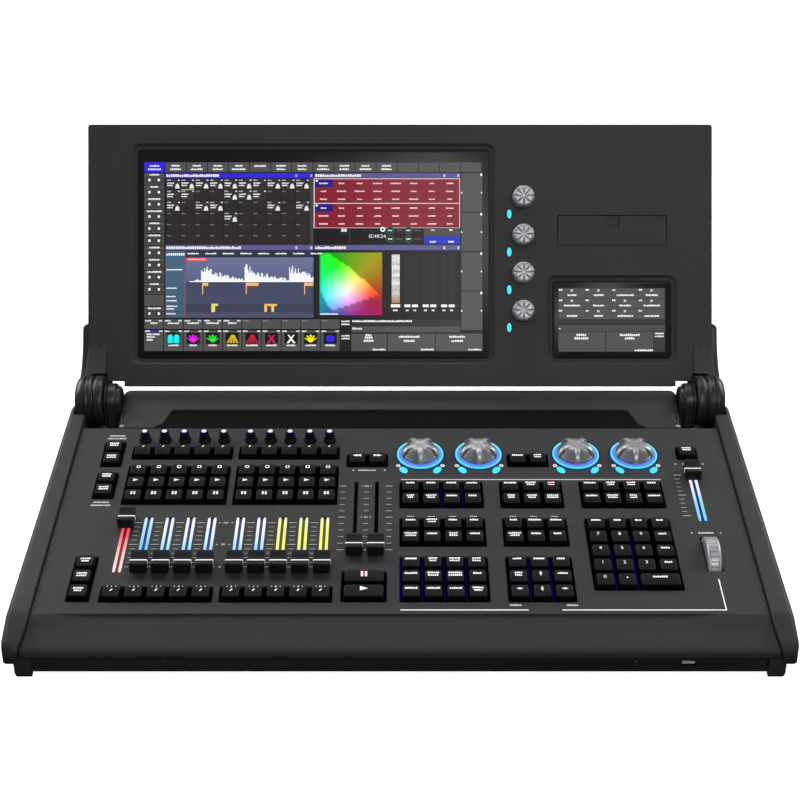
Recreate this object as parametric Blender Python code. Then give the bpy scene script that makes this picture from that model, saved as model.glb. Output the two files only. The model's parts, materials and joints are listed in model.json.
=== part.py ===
"""Lighting control desk: a sloping control surface with a screen housing that folds over it.

Dimensions are in millimetres; MM turns them into Blender's metres when geometry is made.
Three frames carry the parts:
  desk    at the middle of the footprint, on the surface that the desk stands on
  panel   at the middle of the control panel's rear edge; y runs up the slope, z stands off it
  screen  on the hinge axis; y runs up the screen, z stands off its front
"""

import math

import bmesh
import bpy
from mathutils import Vector

MM = 0.001

# desk, in its own frame
HALF_WIDTH = 330.8
FRONT = -260.7
REAR = 124.8
PAN_BOTTOM = 4.2
SHEET = 1.5
GAP = 0.3

# control panel
PANEL_REAR = (33.9, 79.8)
PANEL_SLOPE = math.radians(8.13)
PANEL_HALF = 310.2
PANEL_FLAT = 263.0
PANEL_SKIN = 2.5
REST_LENGTH = 34.5
NOSE_FLARE = 4.7
# Wrist rest: distance in front of the crease and height, on its upper and its under side.
REST_TOP = (
    (2.0, -1.4), (6.0, -3.3), (12.0, -5.2), (20.0, -7.4), (28.0, -9.6), (31.5, -10.9),
    (33.6, -12.8), (34.5, -15.4),
)
REST_UNDER = (
    (1.2, -4.0), (5.2, -5.7), (11.3, -7.6), (19.3, -9.8), (27.2, -12.0), (29.9, -13.1),
    (31.4, -14.6), (32.0, -16.2),
)
LIP_DROP = 17.8

# Feet, part of the cheeks: the front pair has a toe that reaches in front of the base pan.
FOOT_SPAN = (312.5, 321.4)
FOOT_TOE = 306.0
FOOT_FRONT = -258.5
FOOT_REAR = 116.0
FOOT_LENGTH = 50.0
FOOT_TOP = 18.6

# hinge and screen housing
HINGE = (79.0, 87.6)
SCREEN_LEAN = math.radians(27.0)
DRUM_RADIUS = 25.0
DRUM_SPAN = (294.6, 322.5)
BARREL_RADIUS = 17.5
BARREL_SPAN = (278.2, 294.1)
PIN_RADIUS = 5.0
BORE_RADIUS = 5.13
SCREEN_HALF = 318.0
SCREEN_LOW = 14.3
SCREEN_HIGH = 281.3
FOOT_HALF = 281.0
BARREL_NOTCH = 19.9
DRUM_NOTCH_X = 298.2
DRUM_NOTCH = 27.0
ARM_TOP = 80.0
SCREEN_FACE = -26.6
BEZEL_DEPTH = 12.0
HOUSING_DEPTH = 34.0
COVER_WALL = 2.2

# displays, as left, right, low and high edges in the screen frame
MAIN_GLASS = (-268.0, 91.4, 42.5, 256.6)
SMALL_GLASS = (155.4, 277.1, 42.5, 122.3)
GLASS_RECESS = 0.8
DISPLAY_DEPTH = 9.0

# hatch door and its bay
HATCH = (160.8, 271.4, 158.5, 188.5)
HATCH_NOTCH = (208.1, 223.3, 175.7, 186.6)
HATCH_THICK = 2.5
BAY_DEPTH = 26.0

# keys: one pitch both ways, caps standing on a mat under the panel
PITCH = 19.05
WELL_MARGIN = 1.0
CAP_BASE = 17.6
CAP_TAPER = 1.4
CAP_HEIGHT = 4.5
MAT_TOP = -3.1
MAT_THICK = 1.2
MAT_LIP = 2.0

# bank centres as (x, distance from the panel's rear edge)
LEFT_X = -274.1
PLAYBACK_X = (-207.9, -105.9)
CUE_X = -31.0
BANK_A_X = 38.2
BANK_B_X = 121.3
BANK_C_X = 205.0
MASTER_X = 274.0
SELECT_W = 39.75
TRIGGER_W = 89.05
FLASH_W = 239.1
ENCODER_KEYS_W = 51.5
ROW_1_W = 103.4
ROW_2_W = 157.2
ROW_3_W = 219.7
NUMERIC_W = 186.2
CUE_KEYS_W = 229.15
SINGLE_KEY_W = 40.5
LEFT_W = (41.9, 90.05, 219.3)

# faders
FADER_TRAVEL = 60.0
FADER_TOP_W = 143.9
FADER_ZERO_W = FADER_TOP_W + FADER_TRAVEL
CROSSFADE_TRAVEL = 90.0
CROSSFADE_TOP_W = 91.0
CROSSFADE_X = (-40.6, -21.4)
MASTER_TOP_W = 74.0
SLOT_WIDTH = 3.4
STEM = (2.0, 8.0)
STEM_BOTTOM = -6.5
SLOT_SPARE = 3.5
CAP = (15.0, 20.0, 12.0)
CAP_SADDLE = 4.0
CAP_LIFT = 1.5

# encoders
MAIN_ENCODER_X = (19.3, 74.85, 167.75, 223.3)
MAIN_ENCODER_W = 41.6
PLAYBACK_ENCODER_W = 20.2
SCREEN_ENCODER_X = 125.3
SCREEN_ENCODER_T = (207.2, 168.5, 130.0, 91.4)

# thumb wheel
WHEEL_W = 186.7
WHEEL_RADIUS = 24.0
WHEEL_WIDTH = 12.0
WHEEL_DEPTH = -11.6
WHEEL_SLOT = (14.0, 46.6)

# rear connectors, as x centre, z centre, width and height of each socket
INLET = (-240.0, 27.0, 27.4, 20.2)
SWITCH = (-205.0, 27.0, 13.4, 19.4)
NETWORK = ((-150.0, 27.0, 14.0, 12.0), (-122.0, 27.0, 14.0, 12.0))
USB_REAR = ((-88.0, 27.0, 13.2, 6.0), (-66.0, 27.0, 13.2, 6.0))
DATA_OUT_X = (35.0, 70.0, 105.0, 140.0, 175.0)
DATA_OUT_RADIUS = 11.5
DATA_OUT_PROUD = 1.5
SOCKET_WALL = 1.6
USB_FRONT = (240.0, 12.6, 13.2, 6.0)


def remove_everything():
    for thing in list(bpy.data.objects):
        bpy.data.objects.remove(thing, do_unlink=True)


def finish_of(name, colour, roughness, metallic=0.0):
    material = bpy.data.materials.new(name)
    material.use_nodes = True
    shader = material.node_tree.nodes["Principled BSDF"]
    shader.inputs["Base Color"].default_value = (*colour, 1.0)
    shader.inputs["Roughness"].default_value = roughness
    shader.inputs["Metallic"].default_value = metallic
    material.diffuse_color = (*colour, 1.0)
    return material


def make_frame(name, location, lean):
    frame = bpy.data.objects.new(name, None)
    bpy.context.scene.collection.objects.link(frame)
    frame.location = Vector(location) * MM
    frame.rotation_euler = (lean, 0.0, 0.0)
    return frame


# ---------------------------------------------------------------- shapes added to a bmesh


def add_prism(bm, outline, axis, low, high):
    """A closed prism: outline in the plane across axis, swept from low to high along it."""

    def place(a, b, along):
        if axis == "x":
            return Vector((along, a, b)) * MM
        if axis == "y":
            return Vector((a, along, b)) * MM
        return Vector((a, b, along)) * MM

    near = [bm.verts.new(place(a, b, low)) for a, b in outline]
    far = [bm.verts.new(place(a, b, high)) for a, b in outline]
    faces = [bm.faces.new(near), bm.faces.new(list(reversed(far)))]
    count = len(outline)
    for i in range(count):
        j = (i + 1) % count
        faces.append(bm.faces.new((near[j], near[i], far[i], far[j])))
    bmesh.ops.recalc_face_normals(bm, faces=faces)
    return near, far


def add_strip(bm, stations, left, right):
    """A bar of four-sided sections: stations pair an upper and a lower (y, z) point, and left and
    right give x there. Every face joins one section to the next."""
    rings = []
    for upper, lower in stations:
        ring = [
            bm.verts.new(Vector((edge(*point), *point)) * MM)
            for edge, point in ((left, upper), (right, upper), (right, lower), (left, lower))
        ]
        rings.append(ring)
    faces = [bm.faces.new(rings[0]), bm.faces.new(list(reversed(rings[-1])))]
    for first, second in zip(rings, rings[1:]):
        for i in range(4):
            j = (i + 1) % 4
            faces.append(bm.faces.new((first[j], first[i], second[i], second[j])))
    bmesh.ops.recalc_face_normals(bm, faces=faces)
    return rings


def add_box(bm, low, high):
    outline = [(low[0], low[1]), (high[0], low[1]), (high[0], high[1]), (low[0], high[1])]
    return add_prism(bm, outline, "z", low[2], high[2])


def arc(centre, radius, start, end, steps):
    """Points on a circle, angles in degrees from the first coordinate's direction."""
    points = []
    for i in range(steps + 1):
        angle = math.radians(start + (end - start) * i / steps)
        points.append((centre[0] + radius * math.cos(angle), centre[1] + radius * math.sin(angle)))
    return points


def add_turned(bm, profile, steps, centre=(0.0, 0.0, 0.0), axis="z"):
    """A turned solid. profile runs from the top of the axis to its foot, as (radius, height)."""
    rings = []
    for radius, height in profile:
        ring = []
        for i in range(steps if radius > 0 else 1):
            angle = 2 * math.pi * i / steps
            x = radius * math.cos(angle)
            y = radius * math.sin(angle)
            point = {"z": (x, y, height), "x": (height, x, y), "y": (y, height, x)}[axis]
            ring.append(bm.verts.new((Vector(point) + Vector(centre)) * MM))
        rings.append(ring)
    faces = []
    for upper, lower in zip(rings, rings[1:]):
        for i in range(steps):
            j = (i + 1) % steps
            if len(upper) == 1:
                faces.append(bm.faces.new((upper[0], lower[i], lower[j])))
            elif len(lower) == 1:
                faces.append(bm.faces.new((upper[j], upper[i], lower[0])))
            else:
                faces.append(bm.faces.new((upper[j], upper[i], lower[i], lower[j])))
    bmesh.ops.recalc_face_normals(bm, faces=faces)


def rod(radius, low, high):
    """The profile of a plain rod for add_turned."""
    return [(0.0, high), (radius, high), (radius, low), (0.0, low)]


def add_stepped_plate(bm, mats, blocks, top, bottom, taper=0.0):
    """A plate over the rectangles in mats, with a block standing on it for each of blocks.

    A rectangle is (x low, x high, y low, y high); a block adds its height as a fifth value and
    stays clear of the mats' edges. Block tops draw in by taper on every side.
    """
    mats = [[round(v, 4) for v in mat] for mat in mats]
    blocks = [[round(v, 4) for v in block] for block in blocks]
    xs = sorted({v for r in mats + blocks for v in r[0:2]})
    ys = sorted({v for r in mats + blocks for v in r[2:4]})

    def inside(r, x, y):
        return r[0] < x < r[1] and r[2] < y < r[3]

    level = {}
    for i in range(len(xs) - 1):
        for j in range(len(ys) - 1):
            x = (xs[i] + xs[i + 1]) / 2
            y = (ys[j] + ys[j + 1]) / 2
            if any(inside(r, x, y) for r in mats):
                level[i, j] = top
                for block in blocks:
                    if inside(block, x, y):
                        level[i, j] = block[4]

    corners = {}

    def corner(i, j, z):
        key = (i, j, z)
        if key not in corners:
            shift_x = shift_y = 0.0
            if z > top:
                for x0, x1, y0, y1, _ in blocks:
                    if x0 <= xs[i] <= x1 and y0 <= ys[j] <= y1:
                        shift_x = taper if xs[i] == x0 else -taper
                        shift_y = taper if ys[j] == y0 else -taper
            point = Vector((xs[i] + shift_x, ys[j] + shift_y, z)) * MM
            corners[key] = bm.verts.new(point)
        return corners[key]

    faces = []
    for (i, j), z in level.items():
        around = ((i, j), (i + 1, j), (i + 1, j + 1), (i, j + 1))
        faces.append(bm.faces.new([corner(a, b, z) for a, b in around]))
        faces.append(bm.faces.new([corner(a, b, bottom) for a, b in reversed(around)]))
        sides = (
            ((i, j - 1), (i, j), (i + 1, j)),
            ((i + 1, j), (i + 1, j), (i + 1, j + 1)),
            ((i, j + 1), (i + 1, j + 1), (i, j + 1)),
            ((i - 1, j), (i, j + 1), (i, j)),
        )
        for neighbour, a, b in sides:
            foot = level.get(neighbour, bottom)
            if foot < z:
                faces.append(bm.faces.new((
                    corner(*a, foot), corner(*b, foot), corner(*b, z), corner(*a, z),
                )))
    bmesh.ops.recalc_face_normals(bm, faces=faces)


# ---------------------------------------------------------------- objects


def to_mesh(name, bm, round_piece=False):
    mesh = bpy.data.meshes.new(name)
    bm.to_mesh(mesh)
    bm.free()
    if round_piece:
        mesh.shade_smooth()
        mesh.set_sharp_from_angle(angle=math.radians(35))
    return mesh


def place(name, mesh, frame, location=(0.0, 0.0, 0.0), finish=None):
    thing = bpy.data.objects.new(name, mesh)
    bpy.context.scene.collection.objects.link(thing)
    thing.parent = frame
    thing.location = Vector(location) * MM
    if finish and not mesh.materials:
        mesh.materials.append(finish)
    return thing


def boolean(thing, bm, operation):
    """Join or cut with a helper shape that stays hidden beside its part."""
    helper = place(thing.name + "_" + operation.lower() + "_helper", to_mesh("helper", bm), thing.parent)
    helper.location = thing.location
    helper.hide_render = True
    helper.display_type = "WIRE"
    modifier = thing.modifiers.new(operation.title(), "BOOLEAN")
    modifier.operation = operation
    modifier.solver = "EXACT"
    modifier.object = helper


# ---------------------------------------------------------------- layout shared by parts


def flare(y):
    """How far the panel's edge and the cheeks widen towards the nose, at panel height y."""
    past = max(0.0, -PANEL_FLAT - y)
    return NOSE_FLARE * (past / REST_LENGTH) ** 1.5


def well(x, w, columns, rows):
    """The cut-out of a bank of keys, in the panel frame."""
    half_x = (columns * PITCH + WELL_MARGIN) / 2
    half_y = (rows * PITCH + WELL_MARGIN) / 2
    return (x - half_x, x + half_x, -w - half_y, -w + half_y)


def mat(x, w, columns, rows):
    """The key mat under a bank, wider than its cut-out by a lip."""
    x0, x1, y0, y1 = well(x, w, columns, rows)
    return (x0 - MAT_LIP, x1 + MAT_LIP, y0 - MAT_LIP, y1 + MAT_LIP)


def caps(x, w, columns, rows, wide_last=False):
    """The key caps of a bank; wide_last joins the last two of the front row into one."""
    out = []
    half = CAP_BASE / 2
    for row in range(rows):
        y = -w + (rows - 1) / 2 * PITCH - row * PITCH
        count = columns - 1 if wide_last and row == rows - 1 else columns
        for column in range(count):
            centre = x - (columns - 1) / 2 * PITCH + column * PITCH
            right = centre + half
            if count < columns and column == count - 1:
                right += PITCH
            out.append((centre - half, right, y - half, y + half, CAP_HEIGHT))
    return out


BANKS = {
    "left": [(LEFT_X, LEFT_W[0], 1, 2), (LEFT_X, LEFT_W[1], 1, 2), (LEFT_X, LEFT_W[2], 1, 3)],
    "playback": [(SELECT_W, 5, 1), (TRIGGER_W, 5, 3), (FLASH_W, 5, 1)],
    "step": [(CUE_X, ENCODER_KEYS_W, 2, 1)],
    "program": [
        (BANK_B_X, ENCODER_KEYS_W, 2, 1),
        (BANK_A_X, ROW_1_W, 4, 2), (BANK_B_X, ROW_1_W, 3, 2), (BANK_C_X, ROW_1_W, 4, 2),
        (BANK_A_X, ROW_2_W, 4, 2), (BANK_B_X, ROW_2_W, 3, 2),
        (BANK_A_X, ROW_3_W, 4, 3), (BANK_B_X, ROW_3_W, 3, 3),
    ],
    "numeric": [(BANK_C_X, NUMERIC_W, 4, 5)],
    "single": [(MASTER_X, SINGLE_KEY_W, 1, 1)],
}


def playback_bank(side):
    return [(PLAYBACK_X[side], w, columns, rows) for w, columns, rows in BANKS["playback"]]


def playback_x(number):
    """The x of playback column 0 to 9."""
    return PLAYBACK_X[number // 5] + (number % 5 - 2) * PITCH


def slots():
    """Every fader slot as (x, rear end, front end), measured from the panel's rear edge."""
    spare = STEM[1] / 2 + SLOT_SPARE
    out = [(playback_x(n), FADER_TOP_W - spare, FADER_ZERO_W + spare) for n in range(10)]
    end = CROSSFADE_TOP_W + CROSSFADE_TRAVEL + spare
    out += [(x, CROSSFADE_TOP_W - spare, end) for x in CROSSFADE_X]
    out.append((MASTER_X, MASTER_TOP_W - spare, MASTER_TOP_W + FADER_TRAVEL + spare))
    return out


# ---------------------------------------------------------------- base


def build_base_pan(desk, finish):
    """The bottom tray, open at the rear, with a USB socket in its front wall."""
    half = PANEL_HALF - 0.6
    front = FRONT + 5.7
    rear = REAR - 2.0 - GAP
    lip = 19.6
    bm = bmesh.new()
    add_box(bm, (-half, front, PAN_BOTTOM), (half, rear, lip))
    pan = place("base_pan", to_mesh("base_pan", bm), desk, finish=finish)
    bm = bmesh.new()
    add_box(bm, (-half + SHEET, front + SHEET, PAN_BOTTOM + SHEET), (half - SHEET, rear + 5, lip + 5))
    boolean(pan, bm, "DIFFERENCE")
    x, z, width, height = USB_FRONT
    bm = bmesh.new()
    low = (x - width / 2 - SOCKET_WALL, front + 0.5, PAN_BOTTOM + 0.5)
    high = (x + width / 2 + SOCKET_WALL, front + 15.0, z + height / 2 + SOCKET_WALL)
    add_box(bm, low, high)
    boolean(pan, bm, "UNION")
    bm = bmesh.new()
    low = (x - width / 2, front - 3.0, z - height / 2)
    high = (x + width / 2, front + 13.4, z + height / 2)
    add_box(bm, low, high)
    boolean(pan, bm, "DIFFERENCE")


def cheek_outer(y):
    """The cheek's outer face: a slight taper to the rear and a rounded front corner."""
    taper = 2.8 * min(1.3, max(0.0, (y + 245.0) / 279.0))
    return HALF_WIDTH - taper - 0.03 * max(0.0, -250.0 - y) ** 2


def cheek_inner(y, z):
    """The cheek's inner face, a gap outside the edge of the control panel beside it."""
    along = (y - PANEL_REAR[0]) * math.cos(PANEL_SLOPE) + (z - PANEL_REAR[1]) * math.sin(PANEL_SLOPE)
    return PANEL_HALF + GAP + 1.1 * flare(along)


def build_cheek(name, side, desk, finish):
    """An end cheek: the side moulding with its two feet."""

    def panel_line(y):
        return PANEL_REAR[1] + math.tan(PANEL_SLOPE) * (y - PANEL_REAR[0]) + 3.0

    def outer(y, z):
        return side * cheek_outer(y)

    def inner(y, z):
        return side * cheek_inner(y, z)

    tops = [
        (REAR, 52.0), (REAR - 4.0, 56.0), (74.0, 84.8), (62.0, panel_line(62.0)),
        (-226.0, panel_line(-226.0)), (-232.0, 43.4), (-239.0, 40.2),
        (-248.0, 36.0), (-256.0, 32.0), (-259.4, 28.4), (FRONT, 23.4),
    ]
    feet = [10.5] * 8 + [12.0, 14.0, 17.0]
    stations = [((y, z), (y, foot)) for (y, z), foot in zip(tops, feet)]
    bm = bmesh.new()
    rings = add_strip(bm, stations, inner, outer)
    rim = [bm.edges.get(ring[1:3]) for ring in (rings[0], rings[-1])]
    for first, second in zip(rings, rings[1:]):
        rim.append(bm.edges.get((first[1], second[1])))
        rim.append(bm.edges.get((first[2], second[2])))
    bmesh.ops.bevel(bm, geom=rim, offset=3.5 * MM, segments=2, profile=0.6, affect="EDGES")
    bmesh.ops.triangulate(bm, faces=bm.faces)
    bmesh.ops.recalc_face_normals(bm, faces=bm.faces)
    cheek = place(name, to_mesh(name, bm), desk, finish=finish)

    inner_x, outer_x = FOOT_SPAN
    front_foot = [
        (FOOT_TOE, FOOT_FRONT), (outer_x, FOOT_FRONT), (outer_x, FOOT_FRONT + FOOT_LENGTH),
        (inner_x, FOOT_FRONT + FOOT_LENGTH), (inner_x, FRONT + 5.4), (FOOT_TOE, FRONT + 5.4),
    ]
    rear_foot = [
        (inner_x, FOOT_REAR - FOOT_LENGTH), (outer_x, FOOT_REAR - FOOT_LENGTH),
        (outer_x, FOOT_REAR), (inner_x, FOOT_REAR),
    ]
    bm = bmesh.new()
    for foot in (front_foot, rear_foot):
        add_prism(bm, [(side * x, y) for x, y in foot], "z", 0.0, FOOT_TOP)
    boolean(cheek, bm, "UNION")

    recess = [(48.5, 130.0)] + arc(HINGE, DRUM_RADIUS + 1.5, 180, 270, 8)
    recess += [(86.0, 56.4), (150.0, 50.0), (150.0, 130.0)]
    bm = bmesh.new()
    edges = sorted((side * 300.0, side * (DRUM_SPAN[1] + 0.5)))
    add_prism(bm, recess, "x", *edges)
    boolean(cheek, bm, "DIFFERENCE")
    return cheek


def build_control_panel(panel, finish):
    """The sloping top with the wrist rest, its nose and every cut-out for the controls."""
    stations = [((y, 0.0), (y, -PANEL_SKIN)) for y in (0.0, -PANEL_FLAT)]
    for top, under in zip(REST_TOP, REST_UNDER):
        stations.append(((-PANEL_FLAT - top[0], top[1]), (-PANEL_FLAT - under[0], under[1])))
    nose = -PANEL_FLAT - REST_LENGTH
    stations.append(((nose, -LIP_DROP), (nose + PANEL_SKIN, -LIP_DROP)))
    bm = bmesh.new()
    add_strip(bm, stations, lambda y, z: -PANEL_HALF - flare(y), lambda y, z: PANEL_HALF + flare(y))
    top = place("control_panel", to_mesh("control_panel", bm), panel, finish=finish)

    bm = bmesh.new()
    banks = playback_bank(0) + playback_bank(1)
    for group in ("left", "step", "program", "numeric", "single"):
        banks += BANKS[group]
    banks.append((CUE_X, CUE_KEYS_W, 2, 2))
    cut = (-PANEL_SKIN - 3.0, 3.0)
    for bank in banks:
        x0, x1, y0, y1 = well(*bank)
        add_box(bm, (x0, y0, cut[0]), (x1, y1, cut[1]))
    for x, rear, front in slots():
        add_box(bm, (x - SLOT_WIDTH / 2, -front, cut[0]), (x + SLOT_WIDTH / 2, -rear, cut[1]))
    width, length = WHEEL_SLOT
    low = (MASTER_X - width / 2, -WHEEL_W - length / 2, cut[0])
    add_box(bm, low, (MASTER_X + width / 2, -WHEEL_W + length / 2, cut[1]))
    for x in MAIN_ENCODER_X:
        add_turned(bm, rod(4.0, *cut), 16, (x, -MAIN_ENCODER_W, 0.0))
    for number in range(10):
        add_turned(bm, rod(2.6, *cut), 12, (playback_x(number), -PLAYBACK_ENCODER_W, 0.0))
    boolean(top, bm, "DIFFERENCE")
    return top


def build_rear_bridge(desk, finish):
    """The raised cover between the hinges, with a low wing behind the panel at each end."""
    half = BARREL_SPAN[0] - GAP
    ridge = [
        (122.5, 46.0), (122.5, 50.0), (112.0, 62.0), (104.0, 80.0), (97.0, 89.0), (90.0, 93.5),
        (84.0, 94.7), (79.5, 94.0), (74.0, 91.0), (66.0, 85.5), (40.0, 80.6), (35.6, 78.6),
        (35.6, 46.0),
    ]
    bm = bmesh.new()
    add_prism(bm, ridge, "x", -half, half)
    bridge = place("rear_bridge", to_mesh("rear_bridge", bm), desk, finish=finish)

    wing = [(122.5, 46.0), (122.5, 48.0), (37.6, 48.0), (37.6, 77.5), (35.6, 77.5), (35.6, 46.0)]
    bm = bmesh.new()
    add_prism(bm, wing, "x", -PANEL_HALF, 1.0 - half)
    add_prism(bm, wing, "x", half - 1.0, PANEL_HALF)
    boolean(bridge, bm, "UNION")

    bm = bmesh.new()
    cavity = [
        (120.0, 40.0), (120.0, 49.0), (109.5, 61.0), (101.5, 79.0), (95.0, 86.5), (89.0, 90.5),
        (84.0, 91.8), (80.0, 91.2), (75.5, 88.6), (66.5, 80.2), (38.0, 74.8), (38.0, 40.0),
    ]
    add_prism(bm, cavity, "x", 2.4 - half, half - 2.4)
    recess = [(-233.0, 41.5), (233.0, 41.5), (225.0, 63.5), (-225.0, 63.5)]
    floor = math.tan(math.radians(10.2))
    near, far = add_prism(bm, recess, "z", 0.0, 100.0)
    for vert in near:
        vert.co.z = (78.6 + floor * (vert.co.y / MM - 41.5)) * MM
    boolean(bridge, bm, "DIFFERENCE")
    return bridge


def build_rear_panel(desk, finish):
    """The connector panel: sockets are real pockets with their housings behind the sheet."""
    half = PANEL_HALF - 0.6
    face = (REAR - 2.0, REAR)
    bm = bmesh.new()
    add_box(bm, (-half, face[0], PAN_BOTTOM + 0.3), (half, face[1], 49.5))
    plate = place("rear_io_panel", to_mesh("rear_io_panel", bm), desk, finish=finish)
    sockets = [(*INLET, 17.0)] + [(*s, 14.0) for s in NETWORK] + [(*s, 14.0) for s in USB_REAR]
    bm = bmesh.new()
    for x, z, width, height, depth in sockets:
        wall = SOCKET_WALL
        low = (x - width / 2 - wall, REAR - depth - wall, z - height / 2 - wall)
        add_box(bm, low, (x + width / 2 + wall, REAR - 1.0, z + height / 2 + wall))
    for x in DATA_OUT_X:
        profile = rod(DATA_OUT_RADIUS, -14.0, DATA_OUT_PROUD)
        add_turned(bm, profile, 24, (x, REAR, INLET[1]), axis="y")
    boolean(plate, bm, "UNION")
    bm = bmesh.new()
    for x, z, width, height, depth in sockets:
        low = (x - width / 2, REAR - depth, z - height / 2)
        add_box(bm, low, (x + width / 2, REAR + 5.0, z + height / 2))
    x, z, width, height = SWITCH
    low = (x - width / 2, REAR - 10.0, z - height / 2)
    add_box(bm, low, (x + width / 2, REAR + 5.0, z + height / 2))
    boolean(plate, bm, "DIFFERENCE")
    return plate


def build_power_switch(desk, finish):
    """A rocker on a pin across the opening beside the inlet."""
    width = SWITCH[2] - 1.2
    half = SWITCH[3] / 2 - 1.4
    outline = [(3.2, half), (-1.0, half), (-8.0, 3.0), (-8.0, -3.0), (-1.0, -half), (1.4, -half),
               (0.6, 0.0)]
    bm = bmesh.new()
    add_prism(bm, outline, "x", -width / 2, width / 2)
    return place("power_switch", to_mesh("power_switch", bm), desk,
                 (SWITCH[0], REAR - 1.0, SWITCH[1]), finish)


def build_barrel(name, side, desk, finish):
    """A fixed hinge barrel standing on the rear wing, with the pin that carries the drum."""
    outline = [(HINGE[0] + BARREL_RADIUS, 48.3)] + arc(HINGE, BARREL_RADIUS, 0, 180, 14)
    outline.append((HINGE[0] - BARREL_RADIUS, 48.3))
    bm = bmesh.new()
    add_prism(bm, outline, "x", *sorted((side * BARREL_SPAN[0], side * BARREL_SPAN[1])))
    barrel = place(name, to_mesh(name, bm, round_piece=True), desk, finish=finish)
    bm = bmesh.new()
    span = sorted((side * (BARREL_SPAN[1] - 4.0), side * (DRUM_SPAN[0] + 15.0)))
    add_turned(bm, rod(PIN_RADIUS, *span), 24, (0.0, *HINGE), axis="x")
    boolean(barrel, bm, "UNION")
    return barrel


def build_power_supply(desk, finish):
    """An enclosed supply on the pan, behind the power inlet."""
    bm = bmesh.new()
    mats = [(-295.0, -135.0, -30.0, 68.0)]
    blocks = [(-293.0, -137.0, -28.0, 66.0, 42.0)]
    add_stepped_plate(bm, mats, blocks, 8.0, PAN_BOTTOM + SHEET + GAP, taper=0.6)
    return place("power_supply", to_mesh("power_supply", bm), desk, finish=finish)


def build_main_board(desk, finish):
    """The main computer board with its heat sink, memory and connector blocks."""
    bm = bmesh.new()
    mats = [(-120.0, 200.0, -95.0, 100.0)]
    blocks = [
        (-30.0, 30.0, -40.0, 20.0, 38.0), (60.0, 66.0, -60.0, 70.0, 32.0),
        (72.0, 78.0, -60.0, 70.0, 32.0), (-100.0, -60.0, -80.0, -50.0, 22.0),
        (110.0, 180.0, -70.0, -30.0, 24.0), (-90.0, -70.0, 10.0, 80.0, 24.0),
    ]
    add_stepped_plate(bm, mats, blocks, 12.0, PAN_BOTTOM + SHEET + GAP)
    return place("main_board", to_mesh("main_board", bm), desk, finish=finish)


def build_fader_board(panel, finish):
    """The board under the playback faders, with a long fader body for each."""
    low_x = playback_x(0) - 12.0
    high_x = playback_x(9) + 12.0
    mats = [(low_x, high_x, -222.0, -126.0)]
    blocks = []
    for number in range(10):
        x = playback_x(number)
        blocks.append((x - 4.5, x + 4.5, -218.0, -130.0, STEM_BOTTOM - 1.0))
    bm = bmesh.new()
    add_stepped_plate(bm, mats, blocks, -13.0, -14.6)
    return place("fader_board", to_mesh("fader_board", bm), panel, finish=finish)


# ---------------------------------------------------------------- keys


def build_keys(name, panel, finish, banks, bridges=(), wide_last=False):
    """One mat of key caps; bridges are extra rectangles that join the mat's parts."""
    mats = [mat(*bank) for bank in banks] + list(bridges)
    blocks = []
    for bank in banks:
        blocks += caps(*bank, wide_last=wide_last)
    bm = bmesh.new()
    add_stepped_plate(bm, mats, blocks, MAT_TOP, MAT_TOP - MAT_THICK, CAP_TAPER)
    return place(name, to_mesh(name, bm), panel, finish=finish)


def build_playback_keys(name, side, panel, finish):
    """Select, trigger and flash keys of five playbacks; side strips run past the faders."""
    banks = playback_bank(side)
    x0, x1 = mat(*banks[0])[0:2]
    rear = mat(*banks[0])[3]
    front = mat(*banks[2])[2]
    waist = mat(*banks[1])[2]
    strips = [(x0, x1, waist, rear), (x0, x0 + 3.2, front, rear), (x1 - 3.2, x1, front, rear)]
    return build_keys(name, panel, finish, banks, strips)


def build_left_keys(panel, finish):
    banks = BANKS["left"]
    x0, x1 = mat(*banks[0])[0:2]
    strip = (x0, x1, mat(*banks[2])[2], mat(*banks[0])[3])
    return build_keys("left_keys", panel, finish, banks, [strip])


def build_program_keys(panel, finish):
    banks = BANKS["program"]
    rear = mat(*banks[1])[3]
    waist = mat(*banks[1])[2]
    front = mat(*banks[6])[2]
    left = mat(*banks[1])[0]
    middle = mat(*banks[2])[1]
    right = mat(*banks[3])[1]
    neck = mat(*banks[0])
    bridges = [
        (left, right, waist, rear),
        (left, middle, front, rear),
        (neck[0], neck[1], rear, neck[3]),
    ]
    return build_keys("program_keys", panel, finish, banks, bridges)


def build_cue_key(name, rear_half, panel, finish):
    """One of the two wide keys under the crossfaders; each keeps to its half of the well."""
    x0, x1, y0, y1 = mat(CUE_X, CUE_KEYS_W, 2, 2)
    middle = (y0 + y1) / 2
    centre = middle + (PITCH / 2 if rear_half else -PITCH / 2)
    half_x = (PITCH + CAP_BASE) / 2
    half_y = CAP_BASE / 2
    mats = [(x0, x1, middle + 0.35, y1) if rear_half else (x0, x1, y0, middle - 0.35)]
    blocks = [(CUE_X - half_x, CUE_X + half_x, centre - half_y, centre + half_y, CAP_HEIGHT)]
    bm = bmesh.new()
    add_stepped_plate(bm, mats, blocks, MAT_TOP, MAT_TOP - MAT_THICK, CAP_TAPER)
    return place(name, to_mesh(name, bm), panel, finish=finish)


# ---------------------------------------------------------------- faders, encoders, wheel


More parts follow.
